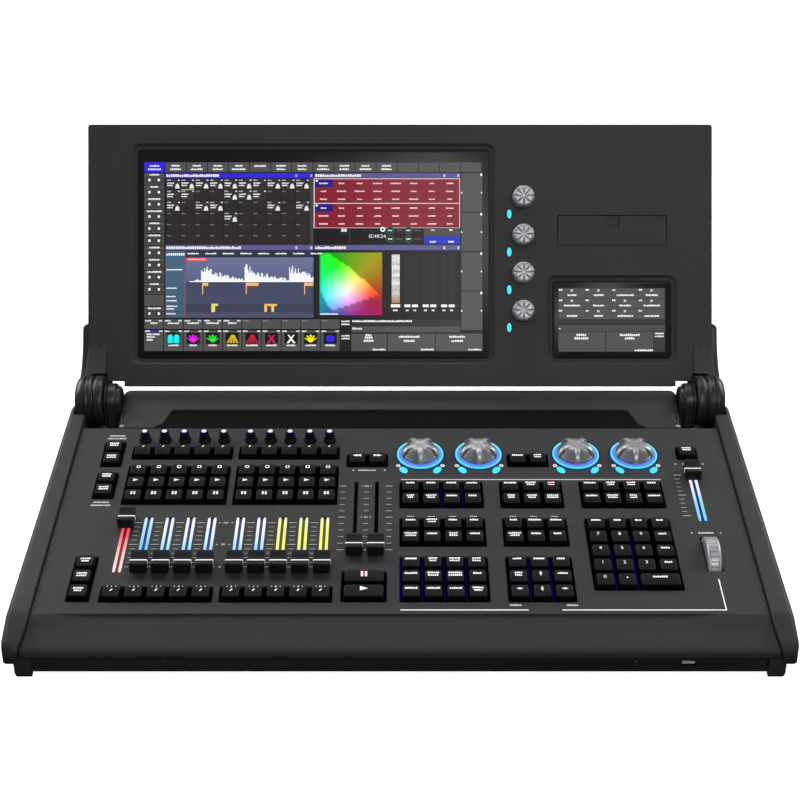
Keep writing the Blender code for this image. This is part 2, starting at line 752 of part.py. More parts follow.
def fader_mesh():
    """A saddle-shaped cap on a flat stem, about the middle of the cap."""
    width, length, height = CAP
    half = length / 2
    depth = CAP_SADDLE
    saddle = []
    for i in range(9):
        y = half - 1.4 - i * (length - 2.8) / 8
        dip = depth * math.cos(y / (half - 1.4) * math.pi / 2)
        saddle.append((y, height - dip))
    outline = [(-half, CAP_LIFT), (half, CAP_LIFT), (half, height - 1.5)] + saddle
    outline.append((-half, height - 1.5))
    bm = bmesh.new()
    near, far = add_prism(bm, outline, "x", -width / 2, width / 2)
    stem_x, stem_y = STEM[0] / 2, STEM[1] / 2
    foot = [v for v in near + far if abs(v.co.z - CAP_LIFT * MM) < 1e-7]
    face = next(f for f in bm.faces if len(f.verts) == 4 and all(v in foot for v in f.verts))
    bmesh.ops.inset_individual(bm, faces=[face], thickness=0.0005, depth=0.0)
    for vert in face.verts:
        vert.co.x = math.copysign(stem_x * MM, vert.co.x)
        vert.co.y = math.copysign(stem_y * MM, vert.co.y)
    shaft = bmesh.ops.extrude_discrete_faces(bm, faces=[face])["faces"][0]
    for vert in shaft.verts:
        vert.co.z = STEM_BOTTOM * MM
    bmesh.ops.recalc_face_normals(bm, faces=bm.faces)
    return to_mesh("fader_cap", bm)


def main_encoder_mesh():
    """A silver star knob: five round arms arch over a skirt that falls away between them.

    Each ring of points has a radius and height on the skirt, then on the crest of an arm.
    """
    rings = [
        ((6.5, 12.5), (6.5, 12.8)), ((10.0, 10.2), (10.0, 13.3)), ((13.5, 7.0), (13.5, 13.4)),
        ((16.0, 4.9), (16.2, 11.6)), ((17.0, 4.0), (18.2, 8.0)), ((17.0, 3.0), (19.0, 4.0)),
        ((16.8, 1.2), (18.6, 1.4)), ((16.4, 0.6), (16.4, 0.6)), ((3.0, 0.6), (3.0, 0.6)),
        ((3.0, -12.0), (3.0, -12.0)),
    ]
    steps = 50
    per_arm = steps // 5
    bm = bmesh.new()
    top = bm.verts.new((0.0, 0.0, 12.6 * MM))
    foot = bm.verts.new((0.0, 0.0, -12.0 * MM))
    loops = []
    for skirt, crest in rings:
        loop = []
        for i in range(steps):
            beside = min(i % per_arm, per_arm - i % per_arm)
            radius, height = crest if beside < 2 else skirt
            angle = 2 * math.pi * i / steps - math.pi / 2
            point = (radius * math.cos(angle), radius * math.sin(angle), height)
            loop.append(bm.verts.new(Vector(point) * MM))
        loops.append(loop)
    for i in range(steps):
        j = (i + 1) % steps
        bm.faces.new((top, loops[0][i], loops[0][j]))
        bm.faces.new((foot, loops[-1][j], loops[-1][i]))
        for upper, lower in zip(loops, loops[1:]):
            bm.faces.new((upper[j], upper[i], lower[i], lower[j]))
    bmesh.ops.triangulate(bm, faces=bm.faces)
    bmesh.ops.recalc_face_normals(bm, faces=bm.faces)
    return to_mesh("encoder_knob", bm, round_piece=True)


def lobed_knob(bm, profile, steps, lobes, depth, lobed):
    """A turned knob whose rings with a radius between the lobed limits swell into lobes."""
    add_turned(bm, profile, steps)
    low, high = lobed
    for vert in bm.verts:
        radius = math.hypot(vert.co.x, vert.co.y) / MM
        if low <= radius <= high:
            angle = math.atan2(vert.co.y, vert.co.x)
            swell = 1.0 + depth * (math.cos(lobes * angle) - 1.0) / 2
            vert.co.x *= swell
            vert.co.y *= swell


def screen_encoder_mesh():
    profile = [(0.0, 13.6), (8.6, 13.4), (10.4, 12.2), (11.2, 1.0), (10.4, 0.6), (3.0, 0.6),
               (3.0, -9.0), (0.0, -9.0)]
    bm = bmesh.new()
    lobed_knob(bm, profile, 24, 8, 0.04, (8.0, 10.45))
    return to_mesh("screen_encoder_knob", bm, round_piece=True)


def playback_encoder_mesh():
    profile = [(0.0, 12.3), (3.2, 12.1), (3.8, 11.0), (4.6, 4.0), (6.0, 2.6), (6.1, 0.6),
               (2.0, 0.6), (2.0, -8.0), (0.0, -8.0)]
    bm = bmesh.new()
    add_turned(bm, profile, 16)
    return to_mesh("playback_encoder_knob", bm, round_piece=True)


def build_thumb_wheel(panel, finish):
    half = WHEEL_WIDTH / 2
    profile = [(0.0, half), (4.0, half), (WHEEL_RADIUS - 0.8, half), (WHEEL_RADIUS, half - 0.8),
               (WHEEL_RADIUS, 0.8 - half), (WHEEL_RADIUS - 0.8, -half), (4.0, -half), (0.0, -half)]
    bm = bmesh.new()
    add_turned(bm, profile, 40, axis="x")
    return place("thumb_wheel", to_mesh("thumb_wheel", bm, round_piece=True), panel,
                 (MASTER_X, -WHEEL_W, WHEEL_DEPTH), finish)


# ---------------------------------------------------------------- screen housing


def housing_outline():
    """The housing seen from the front: notches at the foot clear the barrels and drums."""
    right = [
        (FOOT_HALF, SCREEN_LOW), (FOOT_HALF, BARREL_NOTCH), (DRUM_NOTCH_X, BARREL_NOTCH),
        (DRUM_NOTCH_X, DRUM_NOTCH), (SCREEN_HALF, DRUM_NOTCH), (SCREEN_HALF, SCREEN_HIGH - 3.0),
        (SCREEN_HALF - 3.0, SCREEN_HIGH),
    ]
    return [(-x, t) for x, t in reversed(right)] + right


def build_bezel(screen, finish):
    """The front of the housing with the display openings and the hatch bay behind it."""
    back = SCREEN_FACE - BEZEL_DEPTH
    bm = bmesh.new()
    add_prism(bm, housing_outline(), "z", back, SCREEN_FACE)
    bezel = place("screen_bezel", to_mesh("screen_bezel", bm), screen, finish=finish)
    x0, x1, y0, y1 = HATCH
    floor = SCREEN_FACE - BAY_DEPTH
    bm = bmesh.new()
    add_box(bm, (x0 - 3.0, y0 - 3.0, floor - 1.8), (x1 + 3.0, y1 + 3.0, back + 1.0))
    boolean(bezel, bm, "UNION")
    bm = bmesh.new()
    add_box(bm, (x0 - GAP, y0 - GAP, floor), (x1 + GAP, y1 + GAP, 0.0))
    for left, right, low, high in (MAIN_GLASS, SMALL_GLASS):
        add_box(bm, (left - GAP, low - GAP, back - 2.0), (right + GAP, high + GAP, 0.0))
    for t in SCREEN_ENCODER_T:
        add_turned(bm, rod(3.9, back - 2.0, 0.0), 16, (SCREEN_ENCODER_X, t, 0.0))
    boolean(bezel, bm, "DIFFERENCE")
    return bezel


def cover_outline(inset):
    """The back cover seen from the front, its lower corners left to the hinge arms."""
    half = SCREEN_HALF - inset
    notch = DRUM_NOTCH_X - GAP - inset
    barrel = FOOT_HALF - inset
    low = SCREEN_LOW + inset
    high = SCREEN_HIGH - inset
    step = BARREL_NOTCH + inset
    ledge = ARM_TOP + inset
    right = [
        (barrel, low), (barrel, step), (notch, step), (notch, ledge), (half, ledge),
        (half, high - 3.0), (half - 3.0, high),
    ]
    return [(-x, t) for x, t in reversed(right)] + right


def build_back_cover(screen, finish):
    """The rear shell of the housing, a tub with its lower corners left to the hinge arms."""
    rim = SCREEN_FACE - BEZEL_DEPTH - GAP
    back = SCREEN_FACE - HOUSING_DEPTH
    bm = bmesh.new()
    add_prism(bm, cover_outline(0.0), "z", back, rim)
    cover = place("screen_back_cover", to_mesh("screen_back_cover", bm), screen, finish=finish)
    bm = bmesh.new()
    add_prism(bm, cover_outline(COVER_WALL), "z", back + COVER_WALL, rim + 5.0)
    boolean(cover, bm, "DIFFERENCE")
    return cover


def build_display(name, edges, screen, finish):
    left, right, low, high = edges
    front = SCREEN_FACE - GLASS_RECESS
    bm = bmesh.new()
    add_box(bm, (left, low, front - DISPLAY_DEPTH), (right, high, front))
    return place(name, to_mesh(name, bm), screen, finish=finish)


def build_hatch(screen, finish):
    """The hatch door, about its lower front edge, with a finger notch cut through it."""
    x0, x1, y0, y1 = HATCH
    bm = bmesh.new()
    add_box(bm, (x0, 0.0, -HATCH_THICK), (x1, y1 - y0, 0.0))
    door = place("hatch_door", to_mesh("hatch_door", bm), screen, (0.0, y0, SCREEN_FACE - GAP), finish)
    nx0, nx1, ny0, ny1 = HATCH_NOTCH
    bm = bmesh.new()
    add_box(bm, (nx0, ny0 - y0, -HATCH_THICK - 2.0), (nx1, ny1 - y0, 2.0))
    boolean(door, bm, "DIFFERENCE")
    return door


def build_hinge_drum(name, side, screen, finish):
    """A ringed drum on the hinge axis with the arm that carries the housing."""
    inner, outer = DRUM_SPAN
    radius = DRUM_RADIUS
    profile = [(0.0, outer), (radius - 7.0, outer), (radius - 2.0, outer - 1.2),
               (radius, outer - 4.6), (radius, outer - 8.6), (radius - 1.6, outer - 9.4),
               (radius - 1.6, outer - 11.0), (radius, outer - 11.8), (radius, inner + 1.0),
               (radius - 1.0, inner), (0.0, inner)]
    bm = bmesh.new()
    add_turned(bm, [(r, side * x) for r, x in profile], 40, axis="x")
    drum = place(name, to_mesh(name, bm, round_piece=True), screen, finish=finish)

    rear = SCREEN_FACE - BEZEL_DEPTH - GAP
    back = SCREEN_FACE - HOUSING_DEPTH
    arm = [(6.0, -12.0), (22.0, -14.0), (25.5, rear + 6.0), (25.5, rear), (79.5, rear),
           (79.5, back + 4.0), (75.0, back), (22.0, back), (12.0, back + 4.0), (-12.0, -21.0)]
    bm = bmesh.new()
    add_prism(bm, arm, "x", *sorted((side * (DRUM_NOTCH_X + GAP), side * (outer - 1.5))))
    boolean(drum, bm, "UNION")
    cheek = [(31.0, rear - 0.4), (75.0, rear - 0.4), (75.0, back + 4.5), (28.0, back + 4.5)]
    bm = bmesh.new()
    add_prism(bm, cheek, "x", *sorted((side * (outer - 4.0), side * 322.6)))
    boolean(drum, bm, "UNION")
    bm = bmesh.new()
    span = sorted((side * (inner - 5.0), side * (inner + 16.0)))
    add_turned(bm, rod(BORE_RADIUS, *span), 24, axis="x")
    boolean(drum, bm, "DIFFERENCE")
    return drum


# ---------------------------------------------------------------- the whole desk


def build_desk():
    remove_everything()
    desk = make_frame("desk_frame", (0.0, 0.0, 0.0), 0.0)
    panel = make_frame("panel_frame", (0.0, *PANEL_REAR), PANEL_SLOPE)
    screen = make_frame("screen_frame", (0.0, *HINGE), math.pi / 2 - SCREEN_LEAN)

    sheet = finish_of("black_sheet", (0.018, 0.018, 0.019), 0.55)
    panel_coat = finish_of("panel_coat", (0.055, 0.055, 0.056), 0.6)
    moulding = finish_of("side_moulding", (0.045, 0.045, 0.046), 0.55)
    bezel_coat = finish_of("bezel_coat", (0.04, 0.038, 0.039), 0.5)
    hinge_black = finish_of("hinge_black", (0.022, 0.022, 0.023), 0.45)
    key_black = finish_of("key_black", (0.02, 0.02, 0.021), 0.5)
    knob_black = finish_of("knob_black", (0.02, 0.02, 0.021), 0.4)
    silver = finish_of("silver_knob", (0.72, 0.73, 0.75), 0.32, 1.0)
    glass = finish_of("display_glass", (0.02, 0.021, 0.024), 0.12)
    board = finish_of("circuit_board", (0.02, 0.09, 0.045), 0.5)
    zinc = finish_of("zinc_case", (0.55, 0.56, 0.57), 0.4, 1.0)

    build_base_pan(desk, sheet)
    build_cheek("left_cheek", -1, desk, moulding)
    build_cheek("right_cheek", 1, desk, moulding)
    build_control_panel(panel, panel_coat)
    build_rear_bridge(desk, moulding)
    build_rear_panel(desk, sheet)
    build_power_switch(desk, knob_black)
    build_barrel("left_hinge_barrel", -1, desk, hinge_black)
    build_barrel("right_hinge_barrel", 1, desk, hinge_black)
    build_power_supply(desk, zinc)
    build_main_board(desk, board)
    build_fader_board(panel, board)

    build_left_keys(panel, key_black)
    build_playback_keys("playback_keys_left", 0, panel, key_black)
    build_playback_keys("playback_keys_right", 1, panel, key_black)
    build_keys("step_keys", panel, key_black, BANKS["step"])
    build_cue_key("pause_key", True, panel, key_black)
    build_cue_key("go_key", False, panel, key_black)
    build_program_keys(panel, key_black)
    build_keys("numeric_keys", panel, key_black, BANKS["numeric"], wide_last=True)
    build_keys("single_key", panel, key_black, BANKS["single"])

    cap = fader_mesh()
    for number in range(10):
        w = FADER_TOP_W if number == 0 else FADER_ZERO_W
        name = f"playback_fader_{number + 1:02d}"
        place(name, cap, panel, (playback_x(number), -w, 0.0), knob_black)
    crossfade_w = CROSSFADE_TOP_W + CROSSFADE_TRAVEL
    place("crossfader_left", cap, panel, (CROSSFADE_X[0], -crossfade_w, 0.0))
    place("crossfader_right", cap, panel, (CROSSFADE_X[1], -crossfade_w, 0.0))
    place("grand_master_fader", cap, panel, (MASTER_X, -MASTER_TOP_W, 0.0))

    knob = main_encoder_mesh()
    for letter, x in zip("abcd", MAIN_ENCODER_X):
        place(f"main_encoder_{letter}", knob, panel, (x, -MAIN_ENCODER_W, 0.0), silver)
    small_knob = playback_encoder_mesh()
    for number in range(10):
        name = f"playback_encoder_{number + 1:02d}"
        place(name, small_knob, panel, (playback_x(number), -PLAYBACK_ENCODER_W, 0.0), knob_black)
    build_thumb_wheel(panel, silver)

    build_bezel(screen, bezel_coat)
    build_back_cover(screen, bezel_coat)
    build_display("main_display", MAIN_GLASS, screen, glass)
    build_display("small_display", SMALL_GLASS, screen, glass)
    build_hatch(screen, bezel_coat)
    build_hinge_drum("left_hinge_drum", -1, screen, hinge_black)
    build_hinge_drum("right_hinge_drum", 1, screen, hinge_black)
    screen_knob = screen_encoder_mesh()
    for number, t in enumerate(SCREEN_ENCODER_T):
        name = f"screen_encoder_{number + 1}"
        place(name, screen_knob, screen, (SCREEN_ENCODER_X, t, SCREEN_FACE), silver)
    bpy.context.view_layer.update()


build_desk()
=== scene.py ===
"""Looks of the lighting control desk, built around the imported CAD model.

Shapes are given in millimetres in one of three frames, the same as the CAD's:
  desk    the row frame itself
  panel   at the middle of the control panel's rear edge; y runs up the slope, z stands off it
  screen  on the screen's hinge axis; y runs up the screen, z stands off its front
"""

import json
import math
import random

import bmesh
import bpy
from mathutils import Matrix, Vector

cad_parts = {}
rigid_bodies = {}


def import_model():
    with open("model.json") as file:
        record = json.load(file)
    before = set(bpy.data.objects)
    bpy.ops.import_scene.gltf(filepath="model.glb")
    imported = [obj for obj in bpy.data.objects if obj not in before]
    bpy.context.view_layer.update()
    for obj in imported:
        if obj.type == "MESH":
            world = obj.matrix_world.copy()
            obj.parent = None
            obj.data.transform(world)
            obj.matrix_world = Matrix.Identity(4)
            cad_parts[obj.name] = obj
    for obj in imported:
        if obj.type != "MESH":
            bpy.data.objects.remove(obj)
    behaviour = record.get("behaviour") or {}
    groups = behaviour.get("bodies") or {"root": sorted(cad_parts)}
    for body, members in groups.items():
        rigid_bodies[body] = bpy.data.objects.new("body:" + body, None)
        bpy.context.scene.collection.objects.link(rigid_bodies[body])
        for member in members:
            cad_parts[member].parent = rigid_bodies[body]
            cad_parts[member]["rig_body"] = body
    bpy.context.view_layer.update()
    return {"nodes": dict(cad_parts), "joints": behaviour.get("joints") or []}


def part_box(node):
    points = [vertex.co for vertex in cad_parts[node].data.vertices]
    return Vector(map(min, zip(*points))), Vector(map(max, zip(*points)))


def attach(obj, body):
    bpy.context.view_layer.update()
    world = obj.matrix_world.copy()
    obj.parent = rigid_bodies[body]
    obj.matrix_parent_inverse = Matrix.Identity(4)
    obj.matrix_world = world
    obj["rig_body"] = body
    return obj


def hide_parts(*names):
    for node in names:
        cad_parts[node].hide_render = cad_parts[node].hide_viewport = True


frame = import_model()

MM = 0.001
NODES = frame["nodes"]
JOINTS = {joint["name"]: joint for joint in frame["joints"]}
dice = random.Random(11)


# ---------------------------------------------------------------- frames


def frame_on(normal, origin):
    """Metres from millimetres: x to the right, z along normal, y up the slope."""
    z = Vector(normal).normalized()
    x = Vector((1.0, 0.0, 0.0))
    y = z.cross(x)
    turn = Matrix((x, y, z)).transposed().to_4x4()
    return Matrix.Translation(origin) @ turn @ Matrix.Scale(MM, 4)


def local(name, place):
    """The points of a CAD node in a frame, in millimetres."""
    back = place.inverted()
    return [back @ vert.co for vert in NODES[name].data.vertices]


def extent(name, place):
    """Lowest and highest corner of a CAD node in a frame, in millimetres."""
    points = local(name, place)
    low = Vector([min(p[i] for p in points) for i in range(3)])
    high = Vector([max(p[i] for p in points) for i in range(3)])
    return low, high


DESK = Matrix.Scale(MM, 4)
slope = frame_on(JOINTS["main_encoder_a_turn"]["axis"], (0.0, 0.0, 0.0))
top_high = extent("control_panel", slope)[1]
PANEL = slope @ Matrix.Translation((0.0, top_high.y, top_high.z))
SCREEN = frame_on(JOINTS["screen_encoder_1_turn"]["axis"], JOINTS["screen_tilt"]["pos_m"])


# ---------------------------------------------------------------- colours and materials


def rgb(red, green, blue):
    """A colour as a screen shows it, 0 to 255, as the linear values that Blender mixes."""
    out = []
    for value in (red, green, blue):
        value /= 255.0
        out.append(value / 12.92 if value <= 0.04045 else ((value + 0.055) / 1.055) ** 2.4)
    return tuple(out)


def node(tree, kind, **values):
    made = tree.nodes.new("ShaderNode" + kind)
    for name, value in values.items():
        made.inputs[name.replace("_", " ")].default_value = value
    return made


def new_material(name, colour, roughness, metallic=0.0, specular=0.5):
    material = bpy.data.materials.new(name)
    material.use_nodes = True
    tree = material.node_tree
    shader = tree.nodes["Principled BSDF"]
    shader.inputs["Base Color"].default_value = (*colour, 1.0)
    shader.inputs["Roughness"].default_value = roughness
    shader.inputs["Metallic"].default_value = metallic
    shader.inputs["Specular IOR Level"].default_value = specular
    return material, tree, shader


def times_tint(tree, painted):
    """A colour multiplied by the tint on the points of the mesh."""
    tint = tree.nodes.new("ShaderNodeAttribute")
    tint.attribute_name = "tint"
    product = tree.nodes.new("ShaderNodeMix")
    product.data_type = "RGBA"
    product.blend_type = "MULTIPLY"
    product.inputs["Factor"].default_value = 1.0
    tree.links.new(painted, product.inputs["A"])
    tree.links.new(tint.outputs["Color"], product.inputs["B"])
    return product.outputs["Result"]


def coated(name, colour, roughness, grain, depth, mottle=0.12, wear=0.0, shaded=False, **finish):
    """A painted or moulded surface: fine grain, slow mottling and edges rubbed paler.

    A shaded one is also multiplied by the tint on the points of its mesh, which carries painted
    shade and painted highlights.
    """
    material, tree, shader = new_material(name, colour, roughness, **finish)
    coords = node(tree, "TexCoord")
    fine = node(tree, "TexNoise", Scale=1.0 / (grain * MM), Detail=2.0, Roughness=0.6)
    slow = node(tree, "TexNoise", Scale=1.0 / (26.0 * MM), Detail=4.0, Roughness=0.62)
    tree.links.new(coords.outputs["Object"], fine.inputs["Vector"])
    tree.links.new(coords.outputs["Object"], slow.inputs["Vector"])

    bump = node(tree, "Bump", Strength=0.55, Distance=depth * MM)
    tree.links.new(fine.outputs["Fac"], bump.inputs["Height"])
    tree.links.new(bump.outputs["Normal"], shader.inputs["Normal"])

    shade = tree.nodes.new("ShaderNodeValToRGB")
    shade.color_ramp.elements[0].position = 0.3
    shade.color_ramp.elements[1].position = 0.72
    shade.color_ramp.elements[0].color = (*[c * (1 - mottle) for c in colour], 1.0)
    shade.color_ramp.elements[1].color = (*[c * (1 + mottle) for c in colour], 1.0)
    tree.links.new(slow.outputs["Fac"], shade.inputs["Fac"])
    painted = shade.outputs["Color"]
    if wear:
        geometry = node(tree, "NewGeometry")
        rubbed = node(tree, "MapRange")
        rubbed.inputs["From Min"].default_value = 0.52
        rubbed.inputs["From Max"].default_value = 0.64
        rubbed.inputs["To Max"].default_value = wear
        tree.links.new(geometry.outputs["Pointiness"], rubbed.inputs["Value"])
        mix = tree.nodes.new("ShaderNodeMix")
        mix.data_type = "RGBA"
        mix.inputs["B"].default_value = (*[min(1.0, c * 2.2 + 0.02) for c in colour], 1.0)
        tree.links.new(rubbed.outputs["Result"], mix.inputs["Factor"])
        tree.links.new(painted, mix.inputs["A"])
        painted = mix.outputs["Result"]
    # painted shade and painted highlights from the mesh's tint
    if shaded:
        painted = times_tint(tree, painted)
    tree.links.new(painted, shader.inputs["Base Color"])

    gloss = node(tree, "MapRange")
    gloss.inputs["To Min"].default_value = roughness - 0.07
    gloss.inputs["To Max"].default_value = roughness + 0.09
    tree.links.new(slow.outputs["Fac"], gloss.inputs["Value"])
    tree.links.new(gloss.outputs["Result"], shader.inputs["Roughness"])
    return material


def brushed(name, colour, roughness, metallic=0.85, shaded=False):
    """Bright metal paint with a fine sparkle and soft handling marks."""
    material, tree, shader = new_material(name, colour, roughness, metallic=metallic)
    # a shaded one takes its colour times the mesh's tint: painted shade and painted highlights
    if shaded:
        plain = node(tree, "RGB")
        plain.outputs["Color"].default_value = (*colour, 1.0)
        tree.links.new(times_tint(tree, plain.outputs["Color"]), shader.inputs["Base Color"])
    coords = node(tree, "TexCoord")
    fine = node(tree, "TexNoise", Scale=1.0 / (0.25 * MM), Detail=3.0)
    slow = node(tree, "TexNoise", Scale=1.0 / (5.0 * MM), Detail=3.0)
    tree.links.new(coords.outputs["Object"], fine.inputs["Vector"])
    tree.links.new(coords.outputs["Object"], slow.inputs["Vector"])
    bump = node(tree, "Bump", Strength=0.25, Distance=0.03 * MM)
    tree.links.new(fine.outputs["Fac"], bump.inputs["Height"])
    tree.links.new(bump.outputs["Normal"], shader.inputs["Normal"])
    gloss = node(tree, "MapRange")
    gloss.inputs["To Min"].default_value = roughness - 0.1
    gloss.inputs["To Max"].default_value = roughness + 0.14
    tree.links.new(slow.outputs["Fac"], gloss.inputs["Value"])
    tree.links.new(gloss.outputs["Result"], shader.inputs["Roughness"])
    return material


def lit(name, strength, base=0.02, roughness=0.35, specular=0.3):
    """A surface that glows in the colours painted on its points."""
    material, tree, shader = new_material(name, (base,) * 3, roughness, specular=specular)
    tint = tree.nodes.new("ShaderNodeAttribute")
    tint.attribute_name = "tint"
    coords = node(tree, "TexCoord")
    slow = node(tree, "TexNoise", Scale=1.0 / (3.0 * MM), Detail=2.0)
    gloss = node(tree, "MapRange")
    gloss.inputs["To Min"].default_value = roughness - 0.05
    gloss.inputs["To Max"].default_value = roughness + 0.05
    tree.links.new(coords.outputs["Object"], slow.inputs["Vector"])
    tree.links.new(slow.outputs["Fac"], gloss.inputs["Value"])
    tree.links.new(gloss.outputs["Result"], shader.inputs["Roughness"])
    tree.links.new(tint.outputs["Color"], shader.inputs["Emission Color"])
    shader.inputs["Emission Strength"].default_value = strength
    return material


def haze(name):
    """Spill of light on the surface round a lamp: glowing, and clear where its alpha is low."""
    material, tree, shader = new_material(name, (0.0, 0.0, 0.0), 0.9, specular=0.0)
    tint = tree.nodes.new("ShaderNodeAttribute")
    tint.attribute_name = "tint"
    coords = node(tree, "TexCoord")
    slow = node(tree, "TexNoise", Scale=1.0 / (2.0 * MM), Detail=1.0)
    tree.links.new(coords.outputs["Object"], slow.inputs["Vector"])
    soft = node(tree, "MapRange")
    soft.inputs["To Min"].default_value = 0.9
    tree.links.new(slow.outputs["Fac"], soft.inputs["Value"])
    product = tree.nodes.new("ShaderNodeMath")
    product.operation = "MULTIPLY"
    tree.links.new(tint.outputs["Alpha"], product.inputs[0])
    tree.links.new(soft.outputs["Result"], product.inputs[1])
    tree.links.new(tint.outputs["Color"], shader.inputs["Emission Color"])
    tree.links.new(product.outputs["Value"], shader.inputs["Alpha"])
    shader.inputs["Emission Strength"].default_value = 1.0
    return material


SHEET = coated("black_sheet", rgb(34, 34, 35), 0.5, 0.5, 0.06, wear=0.3, specular=0.35)
COAT = coated("panel_coat", rgb(57, 57, 58), 0.62, 0.45, 0.07, mottle=0.05, specular=0.3)
MOULDING = coated("side_moulding", rgb(47, 47, 48), 0.55, 0.4, 0.05, mottle=0.07, wear=0.15,
                  specular=0.35)
BEZEL = coated("bezel_coat", rgb(64, 61, 62), 0.56, 0.4, 0.05, mottle=0.05, specular=0.32)
HINGE = coated("hinge_black", rgb(38, 37, 38), 0.36, 0.35, 0.03, wear=0.35, specular=0.5)
# key_black is shaded: its tint paints shade on the cap sides and highlights on shoulders and rear
KEY = coated("key_black", rgb(27, 26, 28), 0.48, 0.22, 0.02, mottle=0.08, shaded=True, specular=0.1)
# near black: partly the mat's own black rubber, partly painted shade in the gaps between the caps
MAT = coated("key_mat", rgb(4, 4, 5), 0.9, 0.3, 0.03, specular=0.0)
KNOB = coated("knob_black", rgb(24, 24, 26), 0.38, 0.3, 0.03, wear=0.12, specular=0.2)
RUBBER = coated("foot_rubber", rgb(22, 22, 22), 0.85, 0.6, 0.12, specular=0.2)
# dark tray inlay: partly its own dark finish, partly painted shade in the recess under the screen
TRAY = coated("bridge_tray", rgb(20, 18, 19), 0.6, 0.4, 0.03, mottle=0.05, specular=0.05)
SOCKET = coated("socket_black", rgb(20, 20, 21), 0.6, 0.4, 0.03, specular=0.3)
BOARD = coated("circuit_board", rgb(24, 88, 54), 0.5, 0.8, 0.05, mottle=0.3)
# fader_cap is shaded: its rear slope is painted paler, as painted light
CAP = coated("fader_cap", rgb(24, 24, 26), 0.38, 0.3, 0.03, shaded=True, specular=0.2)
SILVER = brushed("silver_knob", rgb(196, 197, 200), 0.4, 0.55)
# star_knob is shaded: its tint paints highlights on the arm crests and shade on the skirt between
# them
STAR = brushed("star_knob", rgb(182, 183, 186), 0.34, 0.5, shaded=True)
STEEL = brushed("screw_steel", rgb(190, 190, 192), 0.3)
ZINC = brushed("zinc_case", rgb(170, 172, 175), 0.42)
# The print glows a little (emission 0.55) though it is no lamp: painted light that keeps it bright.
PRINT = lit("white_print", 0.55, base=0.6)
LAMP = lit("light_lamp", 1.0)
PICTURE = lit("screen_picture", 1.0, roughness=0.16, specular=0.1)
HAZE = haze("light_spill")
GLASS = coated("display_glass", rgb(18, 17, 18), 0.22, 0.6, 0.002, mottle=0.02, specular=0.35)


# ---------------------------------------------------------------- shapes


class Shape:
    """Points, faces and point colours gathered in one frame, in millimetres."""

    def __init__(self):
        self.points = []
        self.faces = []
        self.tints = []

    def add(self, points, faces, tint=(1.0, 1.0, 1.0)):
        start = len(self.points)
        self.points += [tuple(p) for p in points]
        self.faces += [tuple(start + i for i in face) for face in faces]
        self.tints += list(tint) if isinstance(tint, list) else [tint] * len(points)

    def prism(self, outline, low, high, tint=(1.0, 1.0, 1.0)):
        """An outline, counter-clockwise in x and y, from z low to z high."""
        n = len(outline)
        points = [(x, y, low) for x, y in outline] + [(x, y, high) for x, y in outline]
        faces = [tuple(reversed(range(n))), tuple(range(n, 2 * n))]
        faces += [(i, (i + 1) % n, n + (i + 1) % n, n + i) for i in range(n)]
        tints = tint + tint if isinstance(tint, list) else tint
        self.add(points, faces, tints)

    def loft(self, rings, cap=True, tint=(1.0, 1.0, 1.0)):
        """Closed rings of equal count joined one to the next, the ends closed."""
        n = len(rings[0])
        points = [p for ring in rings for p in ring]
        faces = []
        for k in range(len(rings) - 1):
            a, b = k * n, (k + 1) * n
            faces += [(a + i, a + (i + 1) % n, b + (i + 1) % n, b + i) for i in range(n)]
        if cap:
            faces.append(tuple(reversed(range(n))))
            faces.append(tuple(range(len(points) - n, len(points))))
        self.add(points, faces, tint)


def rect(x0, x1, y0, y1):
    return [(x0, y0), (x1, y0), (x1, y1), (x0, y1)]


def arc(cx, cy, radius, start, end, steps):
    out = []
    for i in range(steps + 1):
        angle = math.radians(start + (end - start) * i / steps)
        out.append((cx + radius * math.cos(angle), cy + radius * math.sin(angle)))
    return out


def round_rect(x0, x1, y0, y1, radius, steps=4):
    corners = (
        (x1 - radius, y0 + radius, 270), (x1 - radius, y1 - radius, 0),
        (x0 + radius, y1 - radius, 90), (x0 + radius, y0 + radius, 180),
    )
    return [p for cx, cy, turn in corners for p in arc(cx, cy, radius, turn, turn + 90, steps)]


def oval(cx, cy, rx, ry, tilt=0.0, steps=20):
    c, s = math.cos(math.radians(tilt)), math.sin(math.radians(tilt))
    out = []
    for i in range(steps):
        a = 2 * math.pi * i / steps
        x, y = rx * math.cos(a), ry * math.sin(a)
        out.append((cx + x * c - y * s, cy + x * s + y * c))
    return out


def grown(outline, margin):
    """A convex outline moved outwards about its middle, for halos."""
    cx = sum(p[0] for p in outline) / len(outline)
    cy = sum(p[1] for p in outline) / len(outline)
    out = []
    for x, y in outline:
        length = math.hypot(x - cx, y - cy) or 1.0
        out.append((x + (x - cx) / length * margin, y + (y - cy) / length * margin))
    return out


def finish_mesh(mesh, angle):
    mesh.shade_smooth()
    mesh.set_sharp_from_angle(angle=math.radians(angle))


